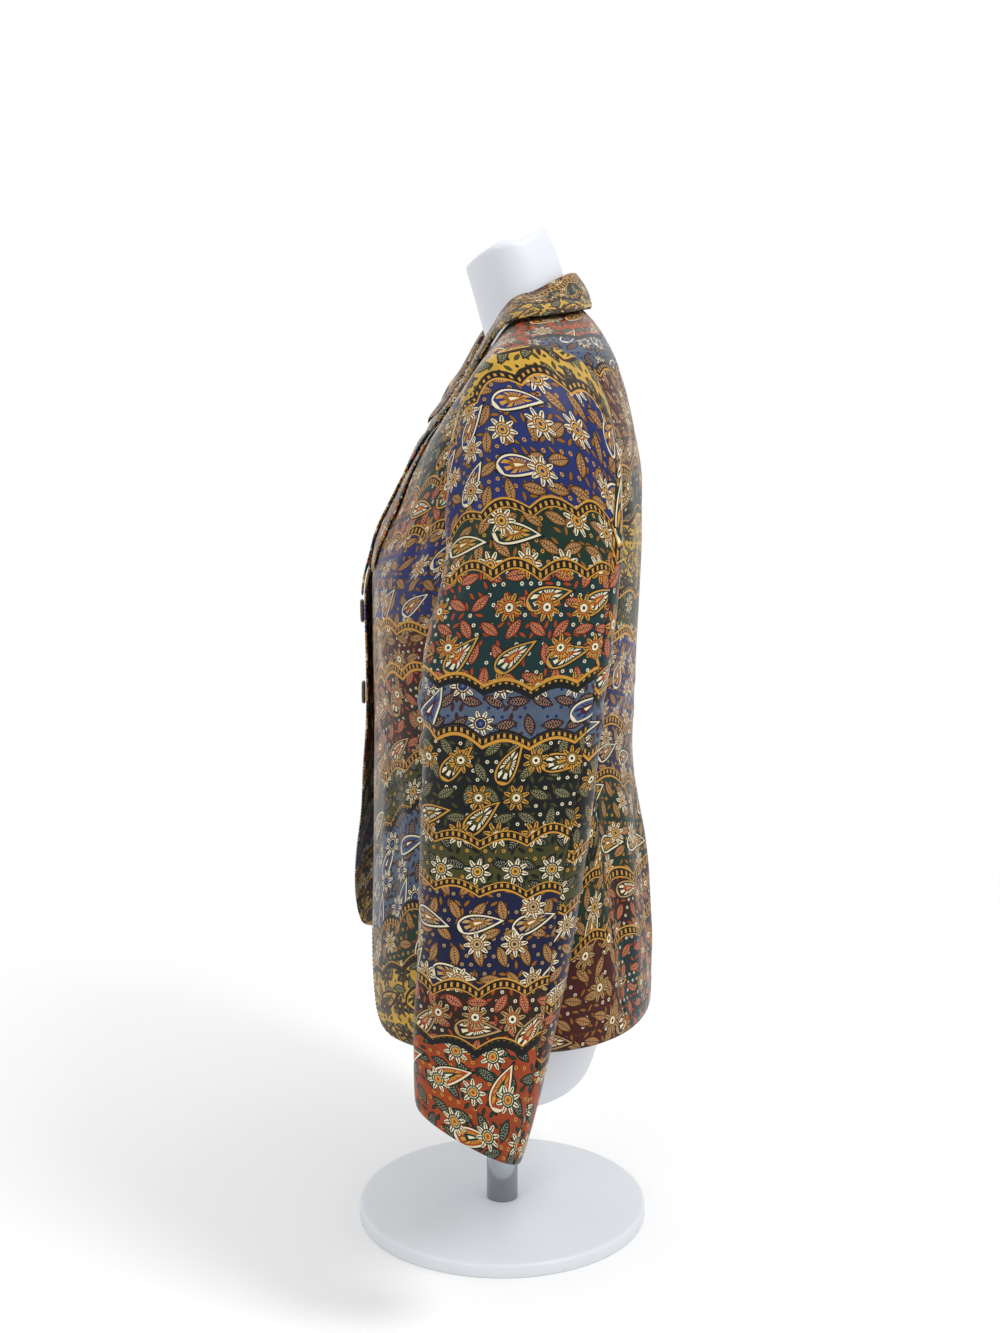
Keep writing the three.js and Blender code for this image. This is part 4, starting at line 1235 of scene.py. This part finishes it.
for node, piece in cloth.items():
    kind = node.replace("_left", "").replace("_right", "")
    finish, slot, _ = KINDS[kind]
    dress(piece, finish, node)
    dress(sewing[node])
    width, length, area = cuts[piece.name]
    width = max(width, round(area / length, 3) + 0.001)
    rests = "form_shell" if kind in ("front", "side", "back", "collar") else "front_left_cloth"
    if node.endswith("right") and rests != "form_shell":
        rests = "front_right_cloth"
    "folded" if kind in ("collar", "lapel") else "hung"

for piece, slot, finish, node in (
        (form, "form_shell", form_finish, "form"), (post, "stand_metal", tube_finish, "stand_post"),
        (plate, "stand_plate", plate_finish, "stand_base"),
        (buttons[0], "button", horn_finish, "button_1"),
        (buttons[1], "button", horn_finish, "button_2"),
        (threads[0], "button", thread_finish, None), (threads[1], "button", thread_finish, None)):
    dress(piece, finish, node)
print("sheets declared:", len(cloth))

# %% [markdown]
# A pale floor, an even pale surround and three large soft lights, as for a picture in a shop:
# one high behind the left shoulder, one weaker from the front and one from the far side. The
# floor turns to plain white with distance, so that no horizon shows.

# %% Floor, surround and lights
floor_mesh = bpy.data.meshes.new("floor")
SPAN = 30.0
floor_mesh.from_pydata([(-SPAN, -SPAN, 0), (SPAN, -SPAN, 0), (SPAN, SPAN, 0), (-SPAN, SPAN, 0)],
                       [], [(0, 1, 2, 3)])
floor = add_object("floor", floor_mesh)
paper = Finish("pale floor")
away = paper.out(paper.node("ShaderNodeVectorMath", {"operation": "LENGTH"},
                            (paper.position(),)), "Value")
sheet_white, far_white = (0.83, 0.83, 0.83, 1), (1, 1, 1, 1)
paper.surface(base_color=paper.blend(paper.noise(paper.position(), 2.0) * 0.2, sheet_white,
                                     (0.8, 0.8, 0.8, 1)), roughness=0.8)
near = next(n for n in paper.tree.nodes if n.type == "BSDF_PRINCIPLED")
glow = paper.node("ShaderNodeEmission", {}, {"Color": far_white})
WHITE_FROM, WHITE_OVER = 0.3, 1.1
both = paper.node("ShaderNodeMixShader", {},
                  {0: ((away - WHITE_FROM) / WHITE_OVER).either(0.0).both(1.0)})
paper.tree.links.new(near.outputs[0], both.inputs[1])
paper.tree.links.new(glow.outputs[0], both.inputs[2])
end = next(n for n in paper.tree.nodes if n.type == "OUTPUT_MATERIAL")
paper.tree.links.new(both.outputs[0], end.inputs[0])
floor_mesh.materials.append(paper.material)

world = bpy.data.worlds.new("surround")
world.use_nodes = True
bpy.context.scene.world = world
bpy.context.scene.view_settings.view_transform = "Standard"
surround = world.node_tree.nodes["Background"]
surround.inputs["Color"].default_value = (1, 1, 1, 1)
surround.inputs["Strength"].default_value = 1.0


def soft_light(name, place, aim, size, power):
    data = bpy.data.lights.new(name, "AREA")
    data.shape, data.size, data.energy = "DISK", size, power
    lamp = add_object(name, data)
    lamp.location = place
    lamp.rotation_euler = (Vector(aim) - Vector(place)).to_track_quat("-Z", "Y").to_euler()


soft_light("key", (1.1, 1.2, 2.4), (0.1, 0, 0.5), 0.8, 32)
soft_light("fill", (1.6, -1.6, 1.6), (0, 0, 0.5), 0.8, 8)
soft_light("rim", (-1.8, -0.6, 1.9), (0, 0, 0.6), 1.2, 4)
print("lights 3")
